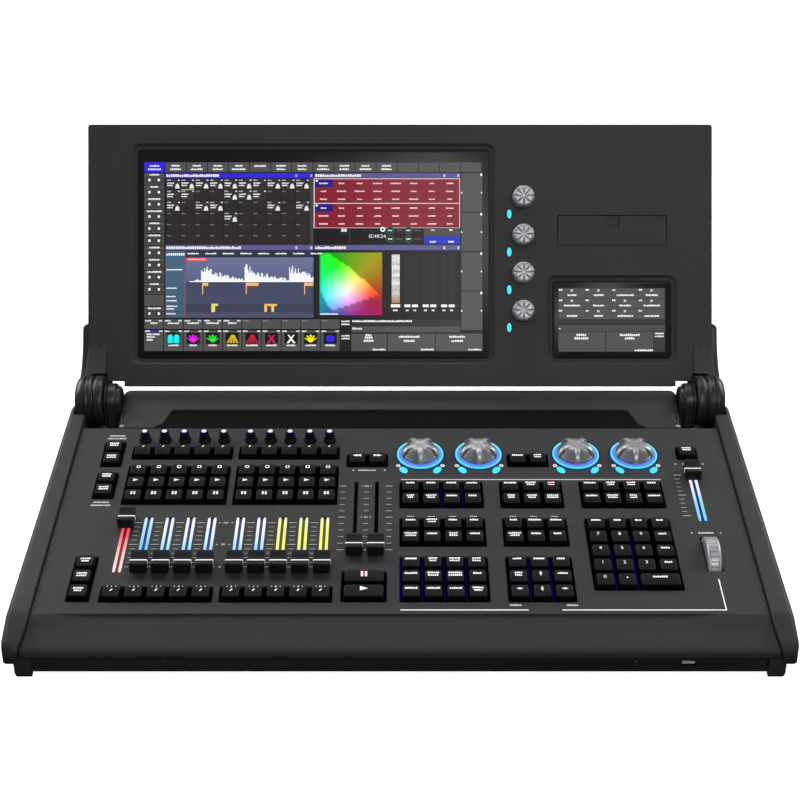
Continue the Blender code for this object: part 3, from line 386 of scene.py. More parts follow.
def piece(name, shape, place, body, material, replaces=(), angle=38.0, bevel=0.0,
          segments=3, recalc=True):
    """Turn a shape into an object that rides on a body."""
    mesh = bpy.data.meshes.new(name)
    mesh.from_pydata([place @ Vector(p) for p in shape.points], [], shape.faces)
    mesh.update()
    if any(t != (1.0, 1.0, 1.0) for t in shape.tints):
        layer = mesh.color_attributes.new("tint", "FLOAT_COLOR", "POINT")
        values = []
        for t in shape.tints:
            values += list(t) + [1.0] * (4 - len(t))
        layer.data.foreach_set("color", values)
    if recalc:
        bm = bmesh.new()
        bm.from_mesh(mesh)
        bmesh.ops.recalc_face_normals(bm, faces=bm.faces)
        bm.to_mesh(mesh)
        bm.free()
    finish_mesh(mesh, angle)
    thing = bpy.data.objects.new(name, mesh)
    bpy.context.scene.collection.objects.link(thing)
    mesh.materials.append(material)
    if bevel:
        soften(thing, bevel, segments)
    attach(thing, body)
    if replaces:
        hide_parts(*replaces)
    return thing


def soften(thing, width, segments=3, limit=40.0):
    """Round the sharp edges and keep flat faces flat."""
    bevel = thing.modifiers.new("Rounded edges", "BEVEL")
    bevel.width = width * MM
    bevel.segments = segments
    bevel.limit_method = "ANGLE"
    bevel.angle_limit = math.radians(limit)
    bevel.harden_normals = True


def cut(thing, shape, place, operation="DIFFERENCE"):
    """Cut or join a shape, at once, so that later bevels see clean edges."""
    mesh = bpy.data.meshes.new("helper")
    mesh.from_pydata([place @ Vector(p) for p in shape.points], [], shape.faces)
    bm = bmesh.new()
    bm.from_mesh(mesh)
    bmesh.ops.recalc_face_normals(bm, faces=bm.faces)
    bm.to_mesh(mesh)
    bm.free()
    helper = bpy.data.objects.new("helper", mesh)
    bpy.context.scene.collection.objects.link(helper)
    modifier = thing.modifiers.new("Cut", "BOOLEAN")
    modifier.operation = operation
    modifier.solver = "EXACT"
    modifier.object = helper
    while thing.modifiers[0] != modifier:
        thing.modifiers.move(thing.modifiers.find(modifier.name), 0)
    graph = bpy.context.evaluated_depsgraph_get()
    others = [m for m in thing.modifiers if m != modifier]
    for other in others:
        other.show_viewport = False
    graph.update()
    result = bpy.data.meshes.new_from_object(thing.evaluated_get(graph))
    for other in others:
        other.show_viewport = True
    thing.modifiers.remove(modifier)
    thing.data = result
    bpy.data.objects.remove(helper)
    finish_mesh(thing.data, 38.0)


def cut_box(shape, low, high):
    shape.prism(rect(low[0], high[0], low[1], high[1]), low[2], high[2])


def turned(shape, profile, steps, centre=(0.0, 0.0, 0.0), axis="z", wave=None, tint=(1.0,) * 3):
    """Turn a profile of (radius, height) pairs, top first; wave(angle, radius, height) may
    change a point's radius and height."""
    rings = []
    for radius, height in profile:
        ring = []
        for i in range(steps):
            angle = 2 * math.pi * i / steps
            r, h = wave(angle, radius, height) if wave else (radius, height)
            x, y = r * math.cos(angle), r * math.sin(angle)
            p = {"z": (x, y, h), "x": (h, x, y), "y": (y, h, x)}[axis]
            ring.append(tuple(a + b for a, b in zip(p, centre)))
        rings.append(ring)
    shape.loft(rings, tint=tint)


# ---------------------------------------------------------------- print: digits, marks, ticks

glyphs = {}


def glyph(text):
    """The outline of a digit or a sign, one unit high, as triangles of a thin plate."""
    if text not in glyphs:
        curve = bpy.data.curves.new("glyph", "FONT")
        curve.body = text
        curve.size = 1.0
        curve.resolution_u = 3
        curve.extrude = 0.05
        thing = bpy.data.objects.new("glyph", curve)
        bpy.context.scene.collection.objects.link(thing)
        graph = bpy.context.evaluated_depsgraph_get()
        mesh = bpy.data.meshes.new_from_object(thing.evaluated_get(graph))
        xs = [v.co.x for v in mesh.vertices]
        ys = [v.co.y for v in mesh.vertices]
        middle_x, low_y = (min(xs) + max(xs)) / 2, min(ys)
        tall = max(ys) - low_y
        points = [((v.co.x - middle_x) / tall, (v.co.y - low_y) / tall - 0.5, v.co.z / 0.05)
                  for v in mesh.vertices]
        faces = [tuple(p.vertices) for p in mesh.polygons]
        bpy.data.objects.remove(thing)
        glyphs[text] = (points, faces, (max(xs) - min(xs)) / tall)
    return glyphs[text]


PRINT_THICK = 0.05


def digits(shape, text, x, y, height, z, tint=(1.0, 1.0, 1.0), lean=0.0):
    """Numbers and signs centred on a point; a raised full stop or dash keeps its place."""
    gap = 0.16
    wide = [glyph(c)[2] for c in text]
    left = -(sum(wide) + gap * (len(text) - 1)) / 2
    for char, width in zip(text, wide):
        points, faces, _ = glyph(char)
        middle = left + width / 2
        shape.add([(x + (px + middle + lean * py) * height, y + py * height,
                    z + pz * PRINT_THICK) for px, py, pz in points], faces, tint)
        left += width + gap


def plate(shape, outline, z, tint=(1.0, 1.0, 1.0), thick=PRINT_THICK):
    shape.prism(outline, z - thick, z + thick, tint)


def word(shape, x, y, width, height, z, tint=(0.9, 0.9, 0.9), fill=0.8):
    """A row of small blocks that stands for a printed word, with no letters in it."""
    count = max(2, round(width / (0.85 * height)))
    step = width / count
    for i in range(count):
        left = x - width / 2 + i * step
        tall = height * dice.choice((1.0, 1.0, 0.8))
        low = y - height / 2
        plate(shape, rect(left, left + fill * step, low, low + tall), z, tint)


def line(shape, x0, y0, x1, y1, width, z, tint=(1.0, 1.0, 1.0)):
    """A thick line between two points."""
    length = math.hypot(x1 - x0, y1 - y0)
    nx, ny = -(y1 - y0) / length * width / 2, (x1 - x0) / length * width / 2
    outline = [(x0 - nx, y0 - ny), (x1 - nx, y1 - ny), (x1 + nx, y1 + ny), (x0 + nx, y0 + ny)]
    plate(shape, outline, z, tint)


def arrow(shape, x, y, size, turn, z, tint=(1.0, 1.0, 1.0)):
    """A solid triangle that points along turn, in degrees."""
    outline = []
    for a, r in ((0, 0.62), (135, 0.62), (225, 0.62)):
        angle = math.radians(a + turn)
        outline.append((x + size * r * math.cos(angle), y + size * r * math.sin(angle)))
    plate(shape, outline, z, tint)


def ring_plate(shape, cx, cy, inner, outer, low, high, tints, steps=48, crown=0.0):
    """A flat or crowned ring; tints are the inner and the outer colour."""
    count = 4
    stations = [(inner, low, tints[0])]
    for i in range(count + 1):
        share = i / count
        radius = inner + (outer - inner) * share
        tint = tuple(a + (b - a) * share for a, b in zip(*tints))
        stations.append((radius, high + crown * math.sin(math.pi * share), tint))
    stations.append((outer, low, tints[1]))
    points, all_tints = [], []
    for radius, z, tint in stations:
        points += [(x, y, z) for x, y in oval(cx, cy, radius, radius, steps=steps)]
        all_tints += [tint] * steps
    n = steps
    faces = []
    for k in range(len(stations)):
        a, b = k * n, (k + 1) % len(stations) * n
        faces += [(a + i, b + i, b + (i + 1) % n, a + (i + 1) % n) for i in range(n)]
    shape.add(points, faces, all_tints)


def halo(shape, outline, margin, z, tint, strength=0.5, steps=3):
    """A glow that fades away outside an outline."""
    n = len(outline)
    rings = [outline] + [grown(outline, margin * (k + 1) / steps) for k in range(steps)]
    points, tints = [], []
    for k, ring in enumerate(rings):
        points += [(x, y, z) for x, y in ring]
        tints += [(*tint, strength * (1 - k / steps) ** 2)] * n
    faces = []
    for k in range(steps):
        a, b = k * n, (k + 1) * n
        faces += [(a + i, b + i, b + (i + 1) % n, a + (i + 1) % n) for i in range(n)]
    shape.add(points, faces, tints)


# ---------------------------------------------------------------- keys


def cap_rectangles(name):
    """The tops of a bank's key caps, read from the CAD node, front row last."""
    mesh = NODES[name].data
    points = local(name, PANEL)
    high = max(p.z for p in points)
    groups = []
    for face in mesh.polygons:
        corners = [points[i] for i in face.vertices]
        if min(p.z for p in corners) < high - 0.05:
            continue
        box = [min(p.x for p in corners), max(p.x for p in corners),
               min(p.y for p in corners), max(p.y for p in corners)]
        touching = [g for g in groups
                    if g[0] < box[1] + 0.05 and g[1] > box[0] - 0.05
                    and g[2] < box[3] + 0.05 and g[3] > box[2] - 0.05]
        for g in touching:
            groups.remove(g)
            box = [min(box[0], g[0]), max(box[1], g[1]), min(box[2], g[2]), max(box[3], g[3])]
        groups.append(box)
    return sorted(groups, key=lambda g: (-round(g[2]), g[0])), high


CAP_TAPER = 1.4
CAP_DISH = 0.5
MAT_TOP = -3.1


def add_cap(shape, x0, x1, y0, y1, top):
    """A key cap: tapered sides painted darker as painted shade, a shoulder painted paler as a
    painted highlight, and a dished top painted paler to its rear as painted light.
    """
    # Each level: outward step, height, corner radius and tint; the tint is painted shade low on the
    # sides and a painted highlight at the shoulder.
    levels = (
        (0.9, MAT_TOP, 1.2, 0.15), (-0.05, top - 1.6, 1.7, 0.3), (-0.25, top - 0.7, 1.8, 0.8),
        (-0.5, top - 0.2, 1.9, 2.2), (-0.85, top, 2.0, 2.0), (-1.3, top - 0.08, 2.0, 1.0),
        (-2.8, top - 0.6 * CAP_DISH, 2.0, 0.9), (-4.6, top - CAP_DISH, 1.6, 0.9),
    )
    rings, tints = [], []
    for out, z, radius, level in levels:
        outline = round_rect(x0 - out, x1 + out, y0 - out, y1 + out, radius)
        rings.append([(x, y, z) for x, y in outline])
        for x, y in outline:
            # painted light: the top is painted paler towards its rear
            rear = min(1.0, max(0.0, (y - y0) / (y1 - y0)))
            tints.append((level * (0.6 + 1.3 * rear ** 2),) * 3)
    shape.loft(rings, tint=tints)


def key_piece(name, replaced):
    """The caps of a bank on their mat, standing for the CAD's stepped mat."""
    body = NODES[replaced]["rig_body"]
    shape = Shape()
    rectangles, top = cap_rectangles(replaced)
    for x0, x1, y0, y1 in rectangles:
        add_cap(shape, x0, x1, y0, y1, top)
    caps = piece(name, shape, PANEL, body, KEY, (replaced,))
    floor = Shape()
    for x0, x1, y0, y1 in rectangles:
        margin = CAP_TAPER + 1.7
        outline = round_rect(x0 - margin, x1 + margin, y0 - margin, y1 + margin, 1.0, 2)
        floor.prism(outline, MAT_TOP - 1.1, MAT_TOP + 0.05)
    # the mat's near-black colour is partly painted shade between the caps
    piece(name + "_mat", floor, PANEL, body, MAT)
    return caps, rectangles, top


# ---------------------------------------------------------------- control panel

FADERS = [f"playback_fader_{i:02d}" for i in range(1, 11)]
CROSSFADERS = ["crossfader_left", "crossfader_right"]
MASTER = "grand_master_fader"
KEY_NODES = ["left_keys", "playback_keys_left", "playback_keys_right", "step_keys",
             "program_keys", "numeric_keys", "single_key"]
PANEL_FLAT = 263.0
PANEL_SKIN = 2.5
REST_LENGTH = 34.5
# Wrist rest: distance in front of the crease, height in the middle and height at the ends.
REST = (
    (0.25, -0.3, -0.02), (0.5, -1.5, -0.05), (0.8, -2.0, -0.1), (1.6, -2.35, -0.3),
    (3.5, -2.95, -1.0), (6.0, -3.6, -2.1), (9.0, -4.4, -3.6), (12.0, -5.2, -4.8),
    (16.0, -6.3, -6.1), (20.0, -7.4, -7.3), (24.0, -8.5, -8.5), (28.0, -9.6, -9.6),
    (30.2, -10.3, -10.3), (31.8, -11.05, -11.05), (33.0, -12.0, -12.0), (33.9, -13.3, -13.3),
    (34.4, -14.8, -14.8),
    (34.5, -16.4, -16.4), (34.5, -17.4, -17.4), (34.1, -17.8, -17.8), (32.4, -17.8, -17.8),
    (32.0, -17.4, -17.4), (32.0, -16.2, -16.2), (31.4, -14.6, -14.6), (29.9, -13.1, -13.1),
    (27.2, -12.0, -12.0), (19.3, -9.8, -9.8), (11.3, -7.6, -7.6), (5.2, -5.7, -5.7),
    (1.2, -4.0, -4.0),
)
NOSE_FLARE = 4.7
PANEL_HALF = 310.2
WELL_GAP = 1.27


def flare(y):
    """How far the panel's edge widens towards the nose."""
    past = max(0.0, -PANEL_FLAT - y)
    return NOSE_FLARE * (past / REST_LENGTH) ** 1.5


def slot_ends(name):
    """x, rear and front end of a fader's slot, from its cap and its joint's range."""
    low, high = extent(name, PANEL)
    joint = JOINTS[name + "_slide"]
    middle = (low.y + high.y) / 2
    spare = 7.5
    rear = middle + joint["range_m"][1] / MM + spare
    front = middle + joint["range_m"][0] / MM - spare
    return (low.x + high.x) / 2, rear, front


def wells():
    """Rectangles of the key wells: neighbouring caps share one."""
    found = []
    for name in KEY_NODES + ["pause_key", "go_key"]:
        for x0, x1, y0, y1 in cap_rectangles(name)[0]:
            grow = CAP_TAPER + WELL_GAP
            box = [x0 - grow, x1 + grow, y0 - grow, y1 + grow]
            joined = [g for g in found if g[0] < box[1] and g[1] > box[0]
                      and g[2] < box[3] and g[3] > box[2]]
            for g in joined:
                found.remove(g)
                box = [min(box[0], g[0]), max(box[1], g[1]), min(box[2], g[2]), max(box[3], g[3])]
            found.append(box)
    return found


def fill_plate(bm, outer, holes, z, up):
    """A flat face with holes, as triangles; returns the loops of vertices."""
    loops = []
    edges = []
    for outline in [outer] + holes:
        verts = [bm.verts.new((x, y, z)) for x, y in outline]
        loops.append(verts)
        edges += [bm.edges.new((verts[i], verts[(i + 1) % len(verts)])) for i in range(len(verts))]
    normal = (0.0, 0.0, 1.0 if up else -1.0)
    bmesh.ops.triangle_fill(bm, use_beauty=True, use_dissolve=False, edges=edges, normal=normal)
    return loops


def bridge(bm, first, second):
    n = len(first)
    for i in range(n):
        bm.faces.new((first[i], first[(i + 1) % n], second[(i + 1) % n], second[i]))


def panel_holes():
    """Outline of every cut-out as a function of how far its rim is rounded."""
    holes = []
    for x0, x1, y0, y1 in wells():
        holes.append(lambda r, b=(x0, x1, y0, y1): round_rect(b[0] - r, b[1] + r, b[2] - r,
                                                              b[3] + r, 1.0 + r, 3))
    for name in FADERS + CROSSFADERS + [MASTER]:
        x, rear, front = slot_ends(name)
        half = 1.7
        holes.append(lambda r, b=(x, rear, front, half): round_rect(
            b[0] - b[3] - r, b[0] + b[3] + r, b[2] - r, b[1] + r, 1.2 + r, 3))
    low, high = extent("thumb_wheel", PANEL)
    middle_x, middle_y = (low.x + high.x) / 2, (low.y + high.y) / 2
    holes.append(lambda r: round_rect(middle_x - 7 - r, middle_x + 7 + r, middle_y - 23.3 - r,
                                      middle_y + 23.3 + r, 1.4 + r, 3))
    return holes


def build_control_panel():
    """The sloping top: rounded cut-outs, a crease, a falling wrist rest and its nose."""
    bm = bmesh.new()
    count = 56
    shares = [-1.0 + 2.0 * i / count for i in range(count + 1)]
    front_edge = [(s * PANEL_HALF, -PANEL_FLAT) for s in shares]
    outer = front_edge + [(PANEL_HALF, 0.0), (-PANEL_HALF, 0.0)]
    holes = panel_holes()
    rim = 0.55
    top = fill_plate(bm, outer, [h(rim) for h in holes], 0.0, True)
    under = fill_plate(bm, outer, [h(0.0) for h in holes], -PANEL_SKIN, False)
    for index, hole in enumerate(holes):
        previous = top[index + 1]
        for turn in (30, 60, 90):
            a = math.radians(turn)
            outline = hole(rim * (1 - math.sin(a)))
            z = -rim * (1 - math.cos(a))
            ring = [bm.verts.new((x, y, z)) for x, y in outline]
            bridge(bm, previous, ring)
            previous = ring
        bridge(bm, previous, under[index + 1])

    def crease(x):
        """How sharp the crease above the wrist rest is: it fades to both ends."""
        ends = min(1.0, max(0.0, (289.0 - abs(x + 11.0)) / 42.0))
        return ends * ends * (3 - 2 * ends)

    previous = top[0][:count + 1]
    last_under = under[0][:count + 1]
    first_row = previous
    rows = [previous]
    for forward, deep, soft in REST:
        row = []
        for s in shares:
            x = s * (PANEL_HALF + flare(-PANEL_FLAT - forward))
            z = soft + (deep - soft) * crease(x)
            row.append(bm.verts.new((x, -PANEL_FLAT - forward, z)))
        for i in range(count):
            bm.faces.new((previous[i + 1], previous[i], row[i], row[i + 1]))
        previous = row
        rows.append(row)
    for i in range(count):
        bm.faces.new((previous[i + 1], previous[i], last_under[i], last_under[i + 1]))
    rows.append(last_under)
    for end in (0, count):
        bm.faces.new([row[end] for row in rows])
    rear_top, rear_under = top[0][count + 1:], under[0][count + 1:]
    bm.faces.new((rear_top[0], rear_top[1], rear_under[1], rear_under[0]))
    for corner, edge in ((0, count), (1, 0)):
        bm.faces.new((first_row[edge], rear_top[corner], rear_under[corner], last_under[edge]))
    bmesh.ops.recalc_face_normals(bm, faces=bm.faces)
    bm.transform(PANEL)
    mesh = bpy.data.meshes.new("control_top")
    bm.to_mesh(mesh)
    bm.free()
    finish_mesh(mesh, 21)
    thing = bpy.data.objects.new("control_top", mesh)
    bpy.context.scene.collection.objects.link(thing)
    mesh.materials.append(COAT)
    flat = thing.modifiers.new("Flat faces stay flat", "WEIGHTED_NORMAL")
    flat.keep_sharp = True
    flat.weight = 100
    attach(thing, "base")
    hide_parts("control_panel")
    return thing


# ---------------------------------------------------------------- panel print and lamps

WHITE = (0.92, 0.92, 0.92)
GREY = (0.34, 0.34, 0.35)
DIM = (0.045, 0.045, 0.047)


def x_of(name):
    low, high = extent(name, PANEL)
    return (low.x + high.x) / 2


def middle_of(name, place):
    low, high = extent(name, place)
    return (low + high) / 2


def build_print(key_boxes):
    """Lines, ticks, numbers and generic labels printed on the panel."""
    ink = Shape()
    z = 0.04
    for x0, x1, w in ((0.9, 243.8, 80.8), (0.4, 108.2, 258.6), (136.8, 274.8, 258.6)):
        line(ink, x0, -w, x1, -w, 1.1, z, GREY if w < 100 else WHITE)
    line(ink, 274.8, -259.1, 274.8, -219.8, 1.1, z, WHITE)
    for x in (98.0, 146.0):
        word(ink, x, -252.6, 10.0, 2.0, z, GREY)

    for k in range(10):
        w0, x = 143.9, x_of(FADERS[k])
        if k not in (4, 9):
            for tick in range(11):
                w = w0 + 6.0 * tick
                strong = tick in (0, 5, 10)
                wide = 7.4 if strong else 5.0
                line(ink, x + 9.5 - wide / 2, -w, x + 9.5 + wide / 2, -w, 0.45, z,
                     GREY if strong else DIM)
    middle = (x_of(FADERS[4]) + x_of(FADERS[5])) / 2
    for text, w in (("100", 143.9), ("50", 173.9), ("0", 203.9)):
        digits(ink, text, middle, -w, 2.4, z, (0.5, 0.5, 0.5))
        for side in (-1, 1):
            line(ink, middle + side * 4.6, -w, middle + side * 6.4, -w, 0.7, z, GREY)
    left, right = (x_of(n) for n in CROSSFADERS)
    for x in (left - 12.4, (left + right) / 2, right + 11.4):
        for tick in range(11):
            w = 90.6 + 9.07 * tick
            strong = tick in (0, 5, 10)
            if strong and x == (left + right) / 2:
                digits(ink, ("100", "50", "0")[tick // 5], x, -w, 2.2, z, (0.5, 0.5, 0.5))
                for side in (-1, 1):
                    line(ink, x + side * 3.4, -w, x + side * 4.6, -w, 0.7, z, GREY)
                continue
            wide = 3.2 if strong else 2.4
            line(ink, x - wide, -w, x + wide, -w, 0.5, z, GREY if strong else DIM)
    word(ink, -31.0, -66.6, 17.0, 1.8, z, (0.3, 0.3, 0.3))
    for x in (-44.0, -14.5):
        plate(ink, oval(x, -66.6, 0.8, 1.1), z, GREY)
    x = x_of(MASTER)
    for tick in range(11):
        w = 74.0 + 6.0 * tick
        wide = 7.0 if tick in (0, 5, 10) else 4.6
        line(ink, x - 17.0, -w, x - 17.0 + wide, -w, 0.6, z, GREY if wide > 5 else DIM)
    for w, width in ((57.0, 13.0), (158.1, 14.0)):
        word(ink, x, -w, width, 2.0, z, GREY)
        for side in (-1, 1):
            plate(ink, oval(x + side * 13.0, -w, 0.8, 0.9, steps=10), z, GREY)
    x = x_of("left_keys")
    for w, width in ((12.2, 15.0), (16.6, 18.0), (114.6, 15.0), (119.0, 18.0)):
        word(ink, x, -w, width, 1.9, z, GREY)
    for x0, x1, _, y1 in key_boxes["program_keys"]:
        middle = (x0 + x1) / 2
        if abs(y1 + 138.0) < 8.0:
            word(ink, middle, y1 + 5.2, 6.5, 1.4, z, (0.2, 0.2, 0.2))
    return piece("panel_print", ink, PANEL, "base", PRINT, recalc=False)


def encoder_lamps():
    lamp, glow = Shape(), Shape()
    for letter in "abcd":
        centre = middle_of("main_encoder_" + letter, PANEL)
        cx, cy = centre.x, centre.y
        ring_plate(lamp, cx, cy, 14.5, 19.2, -0.2, 0.7, (rgb(120, 120, 250), rgb(78, 148, 250)))
        ring_plate(lamp, cx, cy, 19.25, 20.7, -0.2, 0.9, (rgb(60, 160, 250), rgb(40, 150, 240)))
        ring_plate(lamp, cx, cy, 20.75, 22.2, -0.2, 1.3, (rgb(150, 240, 255), rgb(70, 210, 250)),
                   crown=0.35)
        halo(glow, oval(cx, cy, 22.2, 22.2, steps=40), 3.4, 0.12, rgb(6, 44, 112), 0.95)
        for side in (-1, 1):
            azimuth = 270 + side * 33.7
            a = math.radians(azimuth)
            ox, oy = cx + 28.8 * math.cos(a), cy + 28.8 * math.sin(a)
            shape = oval(ox, oy, 5.4, 3.4, 270 - side * 30)
            lamp.prism(shape, -0.1, 0.25, rgb(66, 232, 240))
            halo(glow, shape, 2.6, 0.12, rgb(10, 60, 140), 0.6)
            mx, my = cx + side * 21.0, cy - 17.0
            ring_plate(lamp, mx, my, 0.9, 2.1, -0.1, 0.2, ((0.85,) * 3, (0.85,) * 3), steps=16)
            halo(glow, oval(mx, my, 2.1, 2.1), 1.4, 0.12, rgb(30, 50, 110), 0.5)
    return lamp, glow


def strip(shape, x, w0, w1, width, colours):
    """An upright strip of light; colours run from its rear to its front end."""
    steps = 14
    points, tints = [], []
    for i in range(steps + 1):
        share = i / steps
        narrow = 0.35 if i in (0, steps) else 0.0
        slot = share * (len(colours) - 1)
        k = min(int(slot), len(colours) - 2)
        tint = tuple(a + (b - a) * (slot - k) for a, b in zip(colours[k], colours[k + 1]))
        y = -(w0 + (w1 - w0) * share)
        half = width / 2 - narrow
        for side, z in ((-1, -0.1), (-1, 0.12), (1, 0.12), (1, -0.1)):
            points.append((x + side * half, y, z))
            tints.append(tint)
    faces = []
    for i in range(steps):
        a, b = 4 * i, 4 * i + 4
        faces += [(a + j, a + (j + 1) % 4, b + (j + 1) % 4, b + j) for j in range(4)]
    faces += [(3, 2, 1, 0), tuple(4 * steps + j for j in range(4))]
    shape.add(points, faces, tints)


def fader_lamps(lamp, glow):
    red = (rgb(228, 62, 74), rgb(246, 92, 104), rgb(255, 190, 192), rgb(255, 238, 238))
    sky = (rgb(205, 240, 255), rgb(160, 220, 252), rgb(92, 200, 246), rgb(92, 200, 246))
    ice = (rgb(250, 253, 255), rgb(236, 248, 255), rgb(140, 222, 250), rgb(120, 215, 250))
    lemon = (rgb(250, 250, 190), rgb(248, 246, 110), rgb(252, 250, 120), rgb(255, 252, 140))
    blue, pink, olive = (0, 16, 120), (112, 0, 14), (52, 52, 4)
    for k, name in enumerate(FADERS):
        colours = red if k == 0 else sky if k == 1 else ice if k < 7 else lemon
        deep = rgb(*(pink if k == 0 else blue if k < 7 else olive))
        fader_light(lamp, glow, x_of(name), 137.0, 211.0 if k == 0 else 204.0, colours, deep)
    fader_light(lamp, glow, x_of(MASTER), 67.5, 141.5, ice, rgb(*blue))


def fader_light(lamp, glow, x, rear, front, colours, deep):
    """The two light guides beside a slot, with their light on the slot's floor."""
    for side in (-1, 1):
        strip(lamp, x + side * 2.6, rear, front, 2.6, colours)
    outline = round_rect(x - 3.9, x + 3.9, -front, -rear, 0.8, 2)
    halo(glow, outline, 1.5, 0.06, deep, 0.7)
    plate(lamp, rect(x - 1.2, x + 1.2, -front + 0.5, -rear - 1.0), -0.9, deep)


def column_glow(glow, key_boxes):
    """Blue light that leaks up between the columns of some banks."""

    def right_edges(bank, low_x, high_x, low_y):
        boxes = [b for b in key_boxes[bank] if low_x < b[0] < high_x and b[3] < low_y]
        return sorted({round(b[1], 1) for b in boxes})

    front = right_edges("program_keys", -10.0, 90.0, -185.0)
    spans = [(x, -248.5, -192.0) for x in [front[0] - 19.05] + front[:3]]
    spans += [(x, -120.0, -87.0) for x in front[1:3]]
    arrows = right_edges("program_keys", 90.0, 160.0, -185.0)
    spans += [(x, -248.5, -190.0) for x in arrows[:2]]
    digits_right = right_edges("numeric_keys", 150.0, 300.0, 0.0)
    spans += [(digits_right[0], -236.0, -176.0), (digits_right[1], -236.0, -156.0)]
    for x, near, far in spans:
        outline = rect(x + 1.6, x + 2.7, near, far)
        points = [(px, py, MAT_TOP + 0.4) for px, py in outline]
        glow.add(points, [(0, 1, 2, 3)], [(*rgb(16, 10, 105), 0.7)] * 4)


# ---------------------------------------------------------------- legends

def legends(name, node_name, rows):
    """Print on one bank's caps; rows(ink, index, x, y, z) draws one cap's legend."""
    boxes, top = cap_rectangles(node_name)
    ink = Shape()
    for index, box in enumerate(boxes):
        x, y = (box[0] + box[1]) / 2, (box[2] + box[3]) / 2
        rows(ink, index, x, y, top - 0.12)
    return piece(name, ink, PANEL, NODES[node_name]["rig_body"], PRINT, recalc=False)


def pseudo_word(ink, x, y, z, lines, wide, tint=WHITE):
    for k in range(lines):
        width = wide if k == 0 else wide * dice.choice((0.75, 0.9, 1.0))
        word(ink, x, y + 2.1 - 3.1 * k, width, 2.0 if lines > 1 else 2.2, z, tint, fill=0.82)


def left_rows(ink, index, x, y, z):
    pseudo_word(ink, x, y + 0.5, z, 2, 9.0)


PINK = (0.95, 0.5, 0.55)
RED_PRINT = (0.95, 0.25, 0.32)


def playback_rows(first):
    def rows(ink, index, x, y, z):
        row, column = divmod(index, 5)
        tint = PINK if first and column == 0 else WHITE
        if row == 0:
            line(ink, x - 0.7, y + 4.4, x + 1.0, y + 6.6, 1.1, z, WHITE)
        elif row == 1:
            ring = oval(x, y + 3.4, 2.1, 2.3, steps=18)
            inner = oval(x, y + 3.4, 1.1, 1.2, steps=18)
            n = len(ring)
            for i in range(n):
                if i in (4, 13):
                    continue
                j = (i + 1) % n
                plate(ink, [ring[i], ring[j], inner[j], inner[i]], z, tint)
        elif row == 2:
            arrow(ink, x - 0.4, y + 2.4, 4.6, 0, z, WHITE)
        elif row == 3:
            for side in (-1, 1):
                middle = x + side * 1.35
                plate(ink, rect(middle - 0.85, middle + 0.85, y, y + 4.2), z, tint)
        else:
            number = column + (1 if first else 6)
            digits(ink, str(number), x, y + 5.3, 2.4, z, WHITE)
            for side in (-1, 1):
                plate(ink, oval(x + side * 3.6, y + 5.3, 0.45, 0.5, steps=8), z, WHITE)
            line(ink, x - 0.7, y - 0.2, x + 1.0, y + 2.0, 1.1, z, WHITE)
    return rows


def step_rows(ink, index, x, y, z):
    turn = 180 if index == 0 else 0
    for dx in (-1.8, 1.8):
        arrow(ink, x + dx, y + 2.6, 4.2, turn, z, WHITE)


def program_rows(ink, index, x, y, z):
    row = round((-200.6 - y) / 19.05)
    column = round((x - 102.3) / 19.05)
    turns = {(1, 1): 90, (2, 0): 180, (2, 1): 270, (2, 2): 0}
    if 90.0 < x < 150.0 and (row, column) in turns:
        turn = turns[row, column]
        a = math.radians(turn)
        arrow(ink, x + 1.1 * math.cos(a), y + 2.4 + 1.1 * math.sin(a), 3.4, turn, z, WHITE)
        line(ink, x - 2.4 * math.cos(a), y + 2.4 - 2.4 * math.sin(a), x, y + 2.4, 1.1, z, WHITE)
        return
    lines = dice.choice((1, 1, 2))
    red_key = 130.0 < x < 150.0 and -100.0 < y < -80.0
    pseudo_word(ink, x, y + (1.4 if lines == 2 else 0.8), z, lines, dice.uniform(6.5, 12.0),
                RED_PRINT if red_key else WHITE)


def numeric_rows(ink, index, x, y, z):
    table = ("", "", "", "", "7", "8", "9", "", "4", "5", "6", "", "1", "2", "3", "", "0", ".")
    text = table[index] if index < len(table) else ""
    if text == ".":
        plate(ink, oval(x, y + 2.0, 0.8, 0.8, steps=10), z, WHITE)
    elif text:
        digits(ink, text, x, y + 3.0, 3.8, z, WHITE)
    elif index == len(table):
        pseudo_word(ink, x, y + 0.8, z, 1, 13.0)
    else:
        pseudo_word(ink, x, y + 0.8, z, 1, dice.uniform(6.0, 10.0))


def pause_rows(ink, index, x, y, z):
    for side in (-1, 1):
        plate(ink, rect(x + side * 1.7 - 1.1, x + side * 1.7 + 1.1, y - 1.4, y + 5.2), z, PINK)


def go_rows(ink, index, x, y, z):
    arrow(ink, x - 0.3, y + 2.4, 6.4, 0, z, WHITE)


def single_rows(ink, index, x, y, z):
    pseudo_word(ink, x, y + 1.4, z, 2, 9.0)


# ---------------------------------------------------------------- faders, knobs, wheel


# Tints of a fader cap: the rear slope is painted paler than the front, as painted light.
CAP_REAR_PAINTED_LIGHT = 2.8
CAP_FRONT = 1.05


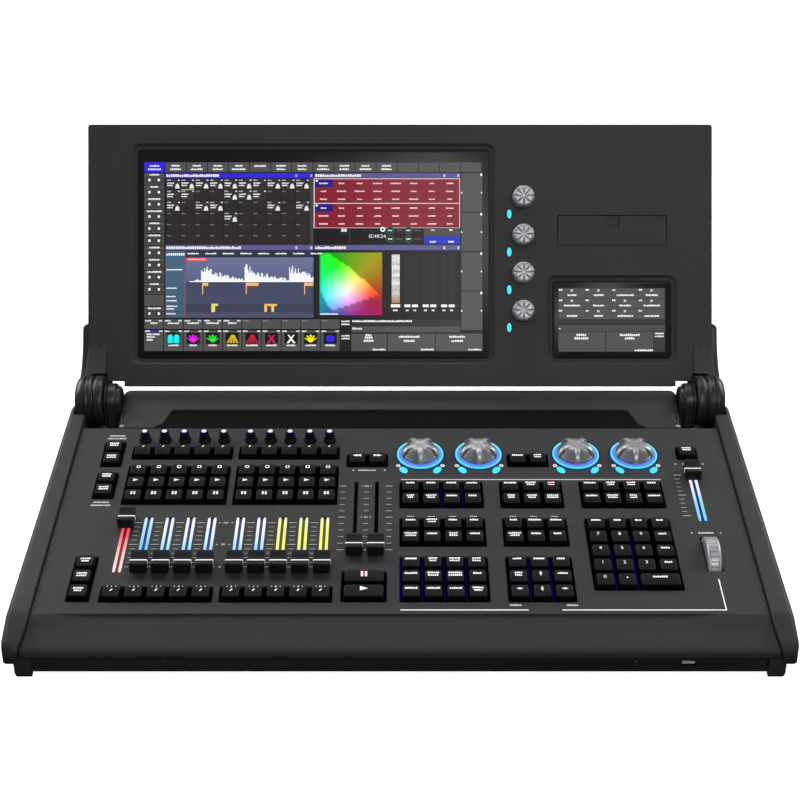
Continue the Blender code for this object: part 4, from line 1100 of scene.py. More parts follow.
def build_fader(name):
    """A saddle-shaped cap with a white line over it, on its flat stem."""
    low, high = extent(name, PANEL)
    cx, cy = (low.x + high.x) / 2, (low.y + high.y) / 2
    half_x, half_y = (high.x - low.x) / 2, (high.y - low.y) / 2
    foot = 1.5
    shape = Shape()
    sections = 17
    rings, tints = [], []
    for i in range(sections):
        s = -1.0 + 2.0 * i / (sections - 1)
        y = half_y * math.sin(s * math.pi / 2)
        bulge = max(0.0, 1.0 - (abs(y) / half_y) ** 10)
        dip = 4.0 * max(0.0, math.cos(min(1.0, abs(y) / (half_y - 1.2)) * math.pi / 2)) ** 1.2
        top = high.z - dip - 1.0 * (1 - bulge)
        tight = 0.9 * (1 - bulge)
        outline = round_rect(-half_x + tight, half_x - tight, foot + 0.4 * (1 - bulge), top, 1.0, 3)
        rings.append([(cx + a, cy + y, b) for a, b in outline])
        # painted light: the rear half of the cap is painted paler than the front
        tints += [(CAP_REAR_PAINTED_LIGHT if y > 0.5 else CAP_FRONT,) * 3] * len(outline)
    shape.loft(rings, tint=tints)
    stem_x, stem_y = 1.0, 4.0
    stem = rect(cx - stem_x, cx + stem_x, cy - stem_y, cy + stem_y)
    shape.prism(stem, low.z, foot + 0.3, (CAP_FRONT,) * 3)
    body = NODES[name]["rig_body"]
    piece(name + "_cap", shape, PANEL, body, CAP, (name,), angle=45)
    ink = Shape()
    z = high.z - 4.0 + 0.06
    across = rect(cx - half_x + 0.9, cx + half_x - 0.9, cy - 0.62, cy + 0.62)
    plate(ink, across, z, (1.0, 1.0, 0.99))
    for x in (cx - half_x - 0.06, cx + half_x - 0.84):
        cut_box(ink, (x, cy - 0.7, foot + 1.6), (x + 0.9, cy + 0.7, z))
    piece(name + "_line", ink, PANEL, body, PRINT, recalc=False)


KNOB_LOBES = 5


def build_main_knob(name):
    """A silver star knob: five round arms arch over a skirt that falls away between them.

    Each ring has a radius and height on the skirt, then on the crest of an arm.
    """
    low, high = extent(name, PANEL)
    centre = (low + high) / 2
    rings = (
        (2.0, 12.8, 2.0, 12.8), (5.0, 13.0, 5.0, 13.0), (7.0, 12.9, 7.0, 13.0),
        (8.4, 12.6, 8.4, 12.9), (10.0, 12.0, 10.0, 12.7), (11.6, 11.0, 11.8, 12.3),
        (13.0, 9.5, 13.4, 11.6), (14.3, 7.8, 14.9, 10.5), (15.4, 6.3, 16.3, 9.0),
        (16.4, 4.9, 17.5, 7.4), (16.9, 4.4, 18.4, 5.6), (17.3, 4.2, 18.9, 4.4),
        (17.5, 3.6, 19.0, 3.7), (17.1, 2.6, 18.9, 2.8), (16.6, 1.2, 18.4, 1.4),
        (16.2, 0.7, 17.4, 0.7), (3.0, 0.65, 3.0, 0.65), (3.0, low.z, 3.0, low.z),
    )
    across, between = 12, 7
    arm_half = 2.7
    shape = Shape()
    # Tints: crests and the middle are painted paler as painted highlights, the skirt between the
    # arms darker as painted shade.
    loops, tints = [], []
    for skirt_r, skirt_z, crest_r, crest_z in rings:
        half = min(math.asin(min(1.0, arm_half / skirt_r)), math.radians(33.0))
        crown = 1.0 if skirt_r < 9.0 else 0.0
        loop = []
        for arm in range(KNOB_LOBES):
            middle = 2 * math.pi * arm / KNOB_LOBES - math.pi / 2
            for i in range(across + 1):
                s = math.sin(math.pi * (i / across - 0.5))
                share = max(0.0, 1.0 - s ** 8)
                radius = skirt_r + (crest_r - skirt_r) * share
                height = skirt_z + (crest_z - skirt_z) * share
                loop.append((middle + half * s, radius, height))
                tints.append((max(0.42 + 0.25 * crown, 1.0 - 0.75 * abs(s) ** 6),) * 3)
            gap = 2 * math.pi / KNOB_LOBES - 2 * half
            for i in range(1, between):
                loop.append((middle + half + gap * i / between, skirt_r, skirt_z))
                share = abs(2.0 * i / between - 1.0)
                tints.append((0.42 + 0.25 * crown + 0.22 * (1.0 - share),) * 3)
        loops.append([(centre.x + r * math.cos(a), centre.y + r * math.sin(a), z)
                      for a, r, z in loop])
    shape.loft(loops, tint=tints)
    body = NODES[name]["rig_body"]
    return piece(name + "_knob", shape, PANEL, body, STAR, (name,), angle=24)


def build_screen_knob(name):
    """A short silver knob with eight radial notches in its crown."""
    low, high = extent(name, SCREEN)
    centre = (low + high) / 2
    base = high.z - 13.6

    def wave(angle, radius, height):
        turn = (angle + math.pi / 8) % (math.pi / 4) - math.pi / 8
        across = abs(radius * math.sin(turn))
        if 4.0 < radius < 11.3 and across < 0.75 and height > high.z - 5.0:
            return radius * 0.985, height - 1.2 * (1 - across / 0.75)
        return radius, height

    profile = [(1.0, high.z - 0.5), (4.2, high.z - 0.15), (6.0, high.z), (8.4, high.z - 0.1),
               (9.6, high.z - 0.5), (10.4, high.z - 1.4), (10.8, high.z - 3.0), (11.2, base + 1.6),
               (10.9, base + 0.8), (10.0, base + 0.6), (3.0, base + 0.6), (3.0, low.z)]
    shape = Shape()
    turned(shape, profile, 96, (centre.x, centre.y, 0.0), wave=wave)
    body = NODES[name]["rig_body"]
    piece(name + "_knob", shape, SCREEN, body, SILVER, (name,), angle=36)


def build_playback_knob(name):
    """A tapered black knob with fine flutes and a lit crown."""
    low, high = extent(name, PANEL)
    centre = (low + high) / 2

    def wave(angle, radius, height):
        flute = 0.12 * math.cos(20 * angle) if 3.4 < radius < 5.6 and height > 3.0 else 0.0
        return radius + flute, height

    profile = [(1.0, high.z - 0.5), (2.9, high.z - 0.5), (3.3, high.z - 0.1), (3.7, high.z - 0.5),
               (3.95, high.z - 1.6), (4.4, 6.5), (4.8, 4.2), (5.3, 3.2), (6.0, 2.4), (6.1, 0.9),
               (5.8, 0.6), (2.0, 0.6), (2.0, low.z)]
    shape = Shape()
    turned(shape, profile, 60, (centre.x, centre.y, 0.0), wave=wave)
    body = NODES[name]["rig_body"]
    piece(name + "_knob", shape, PANEL, body, KNOB, (name,), angle=40)
    crown = Shape()
    rings, tints = [], []
    for radius, height, tint in ((0.05, -0.1, (1.0, 1.0, 1.0)), (1.6, -0.15, rgb(244, 240, 255)),
                                 (2.7, -0.35, rgb(150, 140, 255)), (2.8, -0.8, rgb(70, 60, 220))):
        rings.append([(x, y, high.z + height) for x, y in oval(centre.x, centre.y, radius, radius)])
        tints += [tint] * 20
    crown.loft(rings, tint=tints)
    piece(name + "_crown", crown, PANEL, body, LAMP)


WHEEL_FACETS = 32


def build_wheel():
    """The thumb wheel: a silver rim of facets between two plain bands."""
    low, high = extent("thumb_wheel", PANEL)
    centre = (low + high) / 2
    radius = (high.z - low.z) / 2
    half = (high.x - low.x) / 2

    def wave(angle, r, height):
        """Flat facets with a narrow groove between neighbours, across the middle of the rim."""
        if abs(height) > half - 2.2 or r < radius - 1.0:
            return r, height
        share = abs((angle * WHEEL_FACETS / (2 * math.pi)) % 1.0 - 0.5) * 2
        return r - (0.9 if share > 0.9 else 0.12 * share), height

    profile = [(2.0, half - 0.6), (radius - 6.0, half - 0.6), (radius - 4.0, half - 0.1),
               (radius - 1.4, half), (radius - 0.3, half - 0.7), (radius, half - 1.6),
               (radius, half - 2.1), (radius - 0.5, half - 2.5), (radius - 0.15, half - 2.9),
               (radius - 0.15, 2.9 - half), (radius - 0.5, 2.5 - half), (radius, 2.1 - half),
               (radius, 1.6 - half), (radius - 0.3, 0.7 - half), (radius - 1.4, -half),
               (radius - 4.0, 0.1 - half), (radius - 6.0, 0.6 - half), (2.0, 0.6 - half)]
    shape = Shape()
    turned(shape, profile, 320, tuple(centre), axis="x", wave=wave)
    piece("thumb_wheel_rim", shape, PANEL, "wheel", SILVER, ("thumb_wheel",),
          angle=40)


# ---------------------------------------------------------------- cheeks, bridge, pan

def cheek_stations():
    """Upper and lower (y, z) points of the cheeks along the desk, as in the CAD."""
    low, high = (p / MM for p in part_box("left_cheek"))
    rear, front = high.y, low.y
    tilt = math.atan2(PANEL.col[1].z, PANEL.col[1].y)
    edge = PANEL.translation / MM

    def line_at(y):
        return edge.z + math.tan(tilt) * (y - edge.y) + 3.0

    tops = [
        (rear, 52.0), (rear - 1.0, 54.0), (rear - 4.0, 56.0), (74.0, 84.8), (70.0, 86.6),
        (62.0, line_at(62.0) + 0.2), (50.0, line_at(50.0)),
    ]
    steps = 12
    for i in range(1, steps + 1):
        y = 50.0 + (-226.0 - 50.0) * i / steps
        tops.append((y, line_at(y)))
    tops += [(-229.0, 44.8), (-232.0, 43.5), (-236.0, 41.6), (-242.0, 38.9), (-248.0, 36.2),
             (-252.0, 34.4), (-255.0, 32.9), (-257.4, 31.2), (-259.0, 29.2), (-260.2, 26.6),
             (front, 23.4)]
    out = []
    for y, z in tops:
        foot = 10.5 if y > -250 else 10.5 + 6.5 * ((-250 - y) / 10.7) ** 2
        out.append((y, z, min(foot, 17.0)))
    return out


def build_cheek(name, side):
    """An end cheek: a swept section with generous round edges, notched for the hinge drum."""
    half_width = max(abs(c / MM) for c in (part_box(name)[0].x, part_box(name)[1].x))
    tilt = math.atan2(PANEL.col[1].z, PANEL.col[1].y)
    edge = PANEL.translation / MM

    def outer(y):
        taper = 2.8 * min(1.3, max(0.0, (y + 245.0) / 279.0))
        return half_width - taper - 0.03 * max(0.0, -250.0 - y) ** 2

    def inner(y, z):
        along = (y - edge.y) * math.cos(tilt) + (z - edge.z) * math.sin(tilt)
        return PANEL_HALF + 0.9 + 1.1 * flare(along)

    rings = []
    for y, top, foot in cheek_stations():
        right = outer(y)
        bend = min(5.5, (top - foot) * 0.4)
        ring = arc(right - bend, top - bend, bend, 0, 90, 6)
        ring.append((inner(y, top) + 0.8, top))
        ring.append((inner(y, top), top - 0.8))
        ring.append((inner(y, foot), foot))
        ring += arc(right - 2.5, foot + 2.5, 2.5, 270, 360, 3)
        rings.append([(side * x, y, z) for x, z in ring])
    shape = Shape()
    shape.loft(rings)
    thing = piece(name + "_moulding", shape, DESK, "base", MOULDING, (name,),
                  angle=32)
    pivot = Vector(JOINTS["screen_tilt"]["pos_m"]) / MM
    radius = drum_radius() + 1.5
    notch = [(48.5, 130.0)] + arc(pivot.y, pivot.z, radius, 180, 270, 16)
    notch += [(86.0, 56.4), (150.0, 50.0), (150.0, 130.0)]
    cutter = Shape()
    x0, x1 = sorted((side * 300.0, side * 323.1))
    cutter.loft([[(x0, y, z) for y, z in notch], [(x1, y, z) for y, z in notch]])
    cut(thing, cutter, DESK)
    build_feet(name, side)
    return thing


def drum_radius():
    return extent("left_hinge_drum", SCREEN)[1].z


def build_feet(name, side):
    """Moulded feet: the front one has a toe that reaches in front of the base pan."""
    pan_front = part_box("base_pan")[0].y / MM
    toe_front = pan_front - 3.5
    front = [(306.0, toe_front), (319.8, toe_front), (321.4, toe_front + 2.4),
             (321.4, toe_front + 50.0), (312.5, toe_front + 50.0), (312.5, pan_front - 0.2),
             (306.0, pan_front - 0.2)]
    rear = round_rect(312.5, 321.4, 66.0, 116.0, 2.0)
    moulded = Shape()
    for outline, top in ((front, 19.2), (rear, 14.0)):
        ring = [(side * x, y) for x, y in outline]
        middle_x = sum(p[0] for p in ring) / len(ring)
        middle_y = sum(p[1] for p in ring) / len(ring)
        rings = []
        for shrink, z in ((2.2, 0.5), (0.9, 0.9), (0.25, 1.9), (0.0, 3.4), (0.0, top)):
            moved = []
            for x, y in ring:
                moved.append((x - math.copysign(shrink, x - middle_x),
                              y - math.copysign(shrink, y - middle_y), z))
            rings.append(moved)
        moulded.loft(rings)
    piece(name + "_feet", moulded, DESK, "base", MOULDING, angle=40)
    pads = Shape()
    for y0, y1 in ((toe_front + 5.0, toe_front + 46.0), (70.0, 112.0)):
        x0, x1 = sorted((side * 314.9, side * 319.0))
        rings = []
        for inset, z in ((0.5, 0.0), (0.0, 0.5), (0.0, 2.6)):
            outline = round_rect(x0 + inset, x1 - inset, y0 + inset, y1 - inset, 1.6)
            rings.append([(x, y, z) for x, y in outline])
        pads.loft(rings)
    piece(name + "_pads", pads, DESK, "base", RUBBER)


def build_bridge():
    """The raised cover between the hinges, with its shallow tray and rounded ends."""
    half = 277.9
    ridge = [
        (122.5, 46.0), (122.5, 50.0), (112.0, 62.0), (104.0, 80.0), (97.0, 88.4), (92.0, 92.4),
        (88.0, 94.2), (84.6, 94.9), (81.6, 94.6), (79.6, 93.4), (77.4, 91.3), (74.6, 89.1),
        (71.0, 87.2), (66.0, 85.6), (52.0, 82.9), (40.0, 80.6), (36.6, 79.6), (35.6, 77.6),
        (35.6, 46.0),
    ]
    shape = Shape()
    ends = ((0.0, 7.0), (0.6, 4.4), (1.8, 2.4), (3.8, 0.9), (6.5, 0.0))
    stations = [(-half + along, inset) for along, inset in ends]
    stations += [(half - along, inset) for along, inset in reversed(ends)]
    rings = []
    for x, inset in stations:
        share = 1.0 - inset / 48.0
        rings.append([(x, 79.0 + (y - 79.0) * share, 46.0 + (z - 46.0) * share) for y, z in ridge])
    shape.loft(rings)
    thing = piece("bridge_cover", shape, DESK, "base", MOULDING,
                  ("rear_bridge",))
    tray = Shape()
    right = [(243.0, 30.0), (240.4, 37.4), (238.0, 39.2), (235.4, 40.8), (233.4, 43.4),
             (232.0, 47.0), (228.0, 59.6), (226.0, 62.8), (222.6, 63.9)]
    outline = right + [(-x, y) for x, y in reversed(right)]
    rise = math.tan(math.radians(10.2))
    tray.prism(outline, 0.0, 110.0)
    tray.points = [(x, y, 78.6 + rise * (y - 41.5) if z == 0.0 else z) for x, y, z in tray.points]
    cut(thing, tray, DESK)
    inside = Shape()
    cavity = [
        (120.0, 40.0), (120.0, 49.0), (109.5, 61.0), (101.5, 79.0), (95.0, 86.5), (89.0, 90.5),
        (84.0, 91.8), (80.0, 91.2), (75.5, 88.6), (66.5, 80.2), (38.0, 74.8), (38.0, 40.0),
    ]
    inside.loft([[(x, y, z) for y, z in cavity] for x in (2.4 - half, half - 2.4)])
    cut(thing, inside, DESK)
    soften(thing, 1.3, 3, 22.0)
    # the inlay's dark colour is partly painted shade in the recess
    inlay = Shape()
    inlay.prism([(x * 0.9985, max(y, 36.8) - 0.3) for x, y in outline], 78.0, 78.75)
    inlay.points = [(x, y, z + rise * (y - 41.5)) for x, y, z in inlay.points]
    piece("bridge_tray", inlay, DESK, "base", TRAY)
    details = Shape()
    for side in (-1, 1):
        rings = []
        for shrink, lift in ((0.0, -1.2), (0.0, 0.5), (0.5, 0.9), (1.3, 0.9), (1.7, 0.2),
                             (2.0, -0.6)):
            ring = oval(side * 272.0, 54.0, 3.8 - shrink, 11.0 - shrink, steps=28)
            rings.append([(x, y, 83.2 + (y - 54.0) * 0.19 + lift) for x, y in ring])
        details.loft(rings)
    piece("bridge_sleeves", details, DESK, "base", HINGE, angle=50)
    screws = Shape()
    for side in (-1, 1):
        screw_head(screws, (side * 287.8, 36.6, 77.6), "z", 1.7)
        screw_head(screws, (side * 272.8, 38.4, 80.2), "z", 2.2)
    piece("bridge_screws", screws, DESK, "base", STEEL, angle=30)
    wings = Shape()
    wing = [(122.5, 46.0), (122.5, 48.0), (37.6, 48.0), (37.6, 77.5), (35.6, 77.5), (35.6, 46.0)]
    for span in ((-PANEL_HALF, 0.2 - half), (half - 0.2, PANEL_HALF)):
        wings.loft([[(x, y, z) for y, z in wing] for x in span])
    piece("bridge_wings", wings, DESK, "base", MOULDING, bevel=0.4)
    return thing


def screw_head(shape, place_xyz, axis, radius, recess=0.35):
    """A round head with a cross cut; axis is the way that it faces."""
    x, y, z = place_xyz

    def wave(angle, r, h):
        arm = min(abs(r * math.sin(angle)), abs(r * math.cos(angle)))
        deep = recess if arm < radius * 0.14 and r < radius * 0.62 else 0.0
        return r, h - deep

    profile = [(0.05, 0.75), (radius * 0.2, 0.75), (radius * 0.4, 0.72), (radius * 0.55, 0.66),
               (radius * 0.7, 0.58), (radius * 0.88, 0.4), (radius, 0.05), (radius, -0.8)]
    turned_shape = Shape()
    turned(turned_shape, profile, 48, wave=wave)
    quarters, about = {"z": (0, "X"), "-y": (1, "X"), "-z": (2, "X")}[axis]
    turn = Matrix.Rotation(quarters * math.pi / 2, 3, about)
    points = [turn @ Vector(p) + Vector((x, y, z)) for p in turned_shape.points]
    shape.add(points, turned_shape.faces)


# ---------------------------------------------------------------- hinges


def build_barrel(name, side):
    """A fixed barrel with a flange by the drum and a domed shoulder by the bridge."""
    pivot = Vector(JOINTS["screen_tilt"]["pos_m"]) / MM
    radius = 17.5
    inner, outer = 278.2, 293.9
    shape = Shape()

    def section(x, grow):
        foot = 48.3
        outline = [(pivot.y + radius + grow, foot)]
        outline += arc(pivot.y, pivot.z, radius + grow, 0, 180, 24)
        outline.append((pivot.y - radius - grow, foot))
        return [(side * x, y, z) for y, z in outline]

    stations = ((inner, -5.4), (inner + 0.3, -4.4), (inner + 0.8, -3.7), (inner + 1.6, -3.1),
                (inner + 3.6, -2.9), (inner + 4.2, -2.5), (inner + 4.6, -1.0), (inner + 5.0, -0.4),
                (inner + 6.0, 0.0),
                (outer - 3.4, 0.0), (outer - 3.0, -0.4), (outer - 2.7, -1.3), (outer - 2.1, -1.3),
                (outer - 1.8, -0.2), (outer - 1.4, 0.3), (outer - 0.5, 0.3), (outer, -0.3))
    shape.loft([section(x, grow) for x, grow in stations])
    pin = [(5.0, side * (outer - 4.0)), (5.0, side * 309.0), (4.4, side * 309.6)]
    turned(shape, pin, 40, (0.0, pivot.y, pivot.z), axis="x")
    piece(name + "_body", shape, DESK, "base", HINGE, (name,), angle=40)


def build_drum(name, side):
    """The ringed drum, the arm that carries the housing and the slim cover beside the arm."""
    radius = drum_radius()
    rings = (
        (5.2, 319.6), (12.0, 319.6), (13.0, 320.7), (15.0, 322.1), (17.5, 322.5), (20.0, 321.9),
        (22.2, 320.5), (23.8, 318.5), (24.7, 316.5), (25.0, 314.7), (24.9, 313.8), (24.3, 313.2),
        (23.2, 313.0), (23.2, 312.2), (24.4, 312.0), (25.0, 311.3), (25.0, 310.2), (24.6, 309.6),
        (24.6, 307.8), (25.0, 307.1), (25.0, 306.2), (24.5, 305.6), (22.8, 305.3), (22.4, 304.2),
        (22.8, 303.3), (24.5, 302.9), (25.0, 302.0), (25.0, 297.1), (24.6, 295.7), (23.6, 294.9),
        (5.2, 294.6),
    )
    shape = Shape()
    turned(shape, [(r * radius / 25.0, side * x) for r, x in rings], 96, axis="x")
    piece(name + "_body", shape, SCREEN, "screen", HINGE, (name,), angle=34)
    rear = FACE - BEZEL_DEPTH - 0.3
    back = FACE - HOUSING
    arm = [(6.0, -12.0), (22.0, -14.0), (25.5, rear + 6.0), (25.5, rear), (79.5, rear),
           (79.5, back + 4.0), (75.0, back), (22.0, back), (12.0, back + 4.0), (-12.0, -21.0)]
    carrier = Shape()
    spans = sorted((side * 298.5, side * 320.6))
    carrier.loft([[(x, y, z) for y, z in arm] for x in spans])
    piece(name + "_arm", carrier, SCREEN, "screen", HINGE, bevel=1.2)
    cover = Shape()
    sections = (
        (22.6, 325.0, -20.0), (24.6, 325.8, -21.6), (27.5, 325.6, -23.4), (34.7, 325.2, -26.2),
        (45.9, 324.8, -28.4), (56.0, 324.5, -29.6), (73.0, 324.4, -29.8), (75.4, 324.2, -30.0),
        (77.6, 322.2, -31.0), (79.2, 319.0, -32.0),
    )
    slices = []
    for t, x, front in sections:
        slices.append([(side * a, t, b) for a, b in (
            (317.0, back + 5.0), (x - 2.2, back + 5.0), (x - 0.6, back + 6.0), (x, back + 8.0),
            (x, front - 3.4), (x - 0.7, front - 2.0), (x - 1.8, front - 1.4),
            (x - 2.0, front - 0.2), (x - 3.0, front), (317.0, front))])
    cover.loft(slices)
    piece(name + "_side", cover, SCREEN, "screen", HINGE, angle=30)
    build_skirt(name, side)


def build_skirt(name, side):
    """The bezel's lower corner, which swells outwards and forwards over the drum."""
    shape = Shape()
    slices = []
    for i in range(13):
        share = i / 12
        t = 58.0 - 30.5 * share
        rise = 7.0 * share ** 1.8
        outer = 317.9 + 3.2 * share ** 1.5
        section = ((298.9, -1.0), (299.1, rise - 0.5), (299.7, rise - 0.1), (300.6, rise),
                   (306.0, rise), (311.5, rise), (315.0, rise), (outer - 1.8, rise),
                   (outer - 0.9, rise - 0.3), (outer - 0.2, rise - 1.1), (outer, rise - 2.2),
                   (outer, -9.0), (298.9, -9.0))
        ring = []
        for x, z in section:
            drop = 6.0 * share ** 3 * min(1.0, max(0.0, (x - 312.0) / 8.0)) ** 0.8
            ring.append((side * x, t - drop, FACE + 0.05 + z))
        slices.append(ring)
    shape.loft(slices)
    piece(name + "_skirt", shape, SCREEN, "screen", BEZEL, angle=35)
    mark = Shape()
    mark.prism(oval(side * 305.8, 55.7, 0.9, 0.9, steps=16), FACE - 0.2, FACE + 0.4)
    piece(name + "_mark", mark, SCREEN, "screen", SOCKET)


# ---------------------------------------------------------------- screen housing

FACE = -26.6
BEZEL_DEPTH = 12.0
HOUSING = 34.0
SCREEN_HALF = 318.0


def housing_outline(radius=3.0):
    """The housing from the front: notches at the foot clear the barrels and drums."""
    low, high = 14.3, 281.3
    right = [(281.0, low), (281.0, 19.9), (298.2, 19.9), (298.2, 27.0), (SCREEN_HALF, 27.0)]
    right += arc(SCREEN_HALF - radius, high - radius, radius, 0, 90, 4)
    return right + [(-x, t) for x, t in reversed(right)]


def opening(left, right, low, high, grow, radius):
    return round_rect(left - grow, right + grow, low - grow, high + grow, radius, 6)


def build_bezel():
    """The front shell: bevelled display openings, hatch bay and rounded edges."""
    bm = bmesh.new()
    glass = {}
    for name in ("main_display", "small_display"):
        low, high = extent(name, SCREEN)
        glass[name] = (low.x, high.x, low.y, high.y)
    hatch_low, hatch_high = extent("hatch_door", SCREEN)
    rims = []
    for name, (x0, x1, y0, y1) in glass.items():
        def rim(step, box=(x0, x1, y0, y1)):
            grow, z = ((5.6, 0.0), (2.6, -2.2), (0.5, -2.4), (-0.4, -2.5),
                       (-0.4, -BEZEL_DEPTH))[step]
            return opening(*box, grow, 4.2 + grow * 0.8), z
        rims.append(rim)

    def bay(step):
        grow, z = ((0.9, 0.0), (0.55, -0.25), (0.4, -0.7), (0.4, -3.6), (0.4, -25.0))[step]
        box = (hatch_low.x, hatch_high.x, hatch_low.y, hatch_high.y)
        return opening(*box, grow, 1.2 + grow), z
    outer = housing_outline()
    top = fill_plate(bm, outer, [rim(0)[0] for rim in rims + [bay]], FACE, True)
    inset = []
    for index, rim in enumerate(rims + [bay]):
        previous = top[index + 1]
        for step in range(1, 5):
            outline, z = rim(step)
            ring = [bm.verts.new((x, y, FACE + z)) for x, y in outline]
            bridge(bm, previous, ring)
            previous = ring
        inset.append(previous)
    bm.faces.new(inset[2])
    under = fill_plate(bm, outer, [rim(4)[0] for rim in rims], FACE - BEZEL_DEPTH, False)
    for index in range(2):
        for a, b in zip(inset[index], under[index + 1]):
            bmesh.ops.pointmerge(bm, verts=[a, b], merge_co=a.co)
    bridge(bm, top[0], under[0])
    bmesh.ops.recalc_face_normals(bm, faces=bm.faces)
    bm.transform(SCREEN)
    mesh = bpy.data.meshes.new("screen_front")
    bm.to_mesh(mesh)
    bm.free()
    finish_mesh(mesh, 28)
    thing = bpy.data.objects.new("screen_front", mesh)
    bpy.context.scene.collection.objects.link(thing)
    mesh.materials.append(BEZEL)
    soften(thing, 1.6, 4, 60.0)
    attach(thing, "screen")
    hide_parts("screen_bezel")
    return thing


def cover_outline(inset):
    """The back cover from the front, its lower corners left to the hinge arms."""
    half = SCREEN_HALF - inset
    notch = 297.9 - inset
    barrel = 281.0 - inset
    low, high = 14.3 + inset, 281.3 - inset
    right = [(barrel, low), (barrel, 19.9 + inset), (notch, 19.9 + inset), (notch, 80.0 + inset),
             (half, 80.0 + inset)]
    right += arc(half - 4.0, high - 4.0, 4.0, 0, 90, 4)
    return right + [(-x, t) for x, t in reversed(right)]


def build_back_cover():
    """The rear shell: stepped edge, vent slots, a recessed panel, ribs and its screws."""
    rim = FACE - BEZEL_DEPTH - 0.3
    back = FACE - HOUSING
    shape = Shape()
    rings = []
    for inset, z in ((0.0, rim), (0.0, back + 5.0), (0.5, back + 3.0), (1.8, back + 1.0),
                     (3.6, back)):
        rings.append([(x, t, z) for x, t in cover_outline(inset)])
    shape.loft(rings)
    thing = piece("screen_rear", shape, SCREEN, "screen", BEZEL,
                  ("screen_back_cover",), angle=30)
    hollow = Shape()
    hollow.prism(cover_outline(3.8), back + 2.2, rim + 5.0)
    cut(thing, hollow, SCREEN)
    vents = Shape()
    for cx in (-190.0, 190.0):
        for k in range(9):
            y = 196.0 + 7.2 * k
            slot = round_rect(cx - 62.0, cx + 62.0, y, y + 3.0, 1.45, 3)
            vents.prism(slot, back - 2.0, back + 4.0)
    cut(thing, vents, SCREEN)
    panel = Shape()
    panel.prism(round_rect(-84.0, 84.0, 104.0, 204.0, 6.0, 5), back - 1.0, back + 0.8)
    cut(thing, panel, SCREEN)
    ribs = Shape()
    for k in range(3):
        y = 40.0 + 10.0 * k
        ribs.prism(round_rect(-230.0, 230.0, y, y + 2.4, 1.1, 3), back - 1.0, back + 0.7)
    cut(thing, ribs, SCREEN)
    screws = Shape()
    for x in (-300.0, -150.0, 0.0, 150.0, 300.0):
        for t in (90.0 if abs(x) == 300.0 else 26.0, 270.0):
            screw_head(screws, (x, t, back - 0.1), "-z", 3.1)
    for x in (-74.0, 74.0):
        for t in (114.0, 194.0):
            screw_head(screws, (x, t, back + 0.7), "-z", 2.6)
    piece("screen_rear_screws", screws, SCREEN, "screen", STEEL, angle=30)
    return thing


def build_hatch():
    """The hatch door with its finger notch and the catch beside it."""
    low, high = extent("hatch_door", SCREEN)
    shape = Shape()
    x0, x1, y0, y1 = low.x, high.x, low.y, high.y
    shape.prism(round_rect(x0, x1, y0, y1, 1.0, 3), low.z, high.z)
    door = piece("hatch_cover", shape, SCREEN, "hatch", BEZEL, ("hatch_door",))
    notch = Shape()
    notch.prism(round_rect(208.1, 223.3, 175.7, y1 + 4.0, 0.8, 3), high.z - 1.7, high.z + 2.0)
    cut(door, notch, SCREEN)
    catch = Shape()
    catch.prism([(262.6, 178.0), (264.2, 178.0), (264.2, 184.4), (269.4, 184.4), (269.4, 186.0),
                 (262.6, 186.0)], high.z - 0.35, high.z + 2.0)
    cut(door, catch, SCREEN)
    soften(door, 0.35, 2, 50.0)
    return door


# ---------------------------------------------------------------- displays

CELL = rgb(80, 79, 79)
DARK = rgb(38, 35, 36)
INK = rgb(250, 250, 250)


PICTURE_UNIT = 1.0193
PICTURE_LEVEL = FACE - 0.72
LAYER = 0.03
FILM = 0.02


class Picture:
    """Flat coloured areas on a display, in steps of the picture's own grid from its top left."""

    def __init__(self, left, top, unit):
        self.left, self.top, self.unit = left, top, unit
        self.shape = Shape()

    def spot(self, u, v):
        return self.left + u * self.unit, self.top - v * self.unit

    def area(self, u0, v0, u1, v1, tint, layer=1):
        z = PICTURE_LEVEL + LAYER * layer
        x0, y1 = self.spot(u0, v0)
        x1, y0 = self.spot(u1, v1)
        tints = tint if isinstance(tint, list) else [tint] * 4
        self.shape.prism(rect(x0, x1, y0, y1), z - FILM, z + FILM, tints)

    def shade(self, outline, tint, layer=1):
        z = PICTURE_LEVEL + LAYER * layer
        points = [self.spot(u, v) for u, v in outline][::-1]
        tints = tint[::-1] if isinstance(tint, list) else tint
        self.shape.prism(points, z - FILM, z + FILM, tints)

    def text(self, u, v, wide, high=1.7, tint=INK, layer=4):
        x, y = self.spot(u, v)
        z = PICTURE_LEVEL + LAYER * layer
        count = max(2, round(wide / (high * 0.9)))
        step = wide * self.unit / count
        for i in range(count):
            left = x + i * step
            tall = high * self.unit * dice.choice((1.0, 1.0, 0.75))
            outline = rect(left, left + step * 0.78, y - high * self.unit / 2,
                           y - high * self.unit / 2 + tall)
            self.shape.prism(outline, z - FILM, z + FILM, tint)

    def centred(self, u, v, wide, high=1.7, tint=INK, layer=4):
        self.text(u - wide / 2, v, wide, high, tint, layer)


def draw_soft_keys(p):
    for k in range(16):
        u = 21.1 * k
        p.area(u, 0.0, u + 20.4, 9.8, rgb(52, 34, 232) if k == 0 else CELL)
        if k < 12 and k != 5:
            p.centred(u + 10.2, 3.4, dice.uniform(7, 10))
            p.centred(u + 10.2, 6.8, dice.uniform(8, 14))
        elif k == 5:
            p.centred(u + 10.2, 3.6, 12.0)


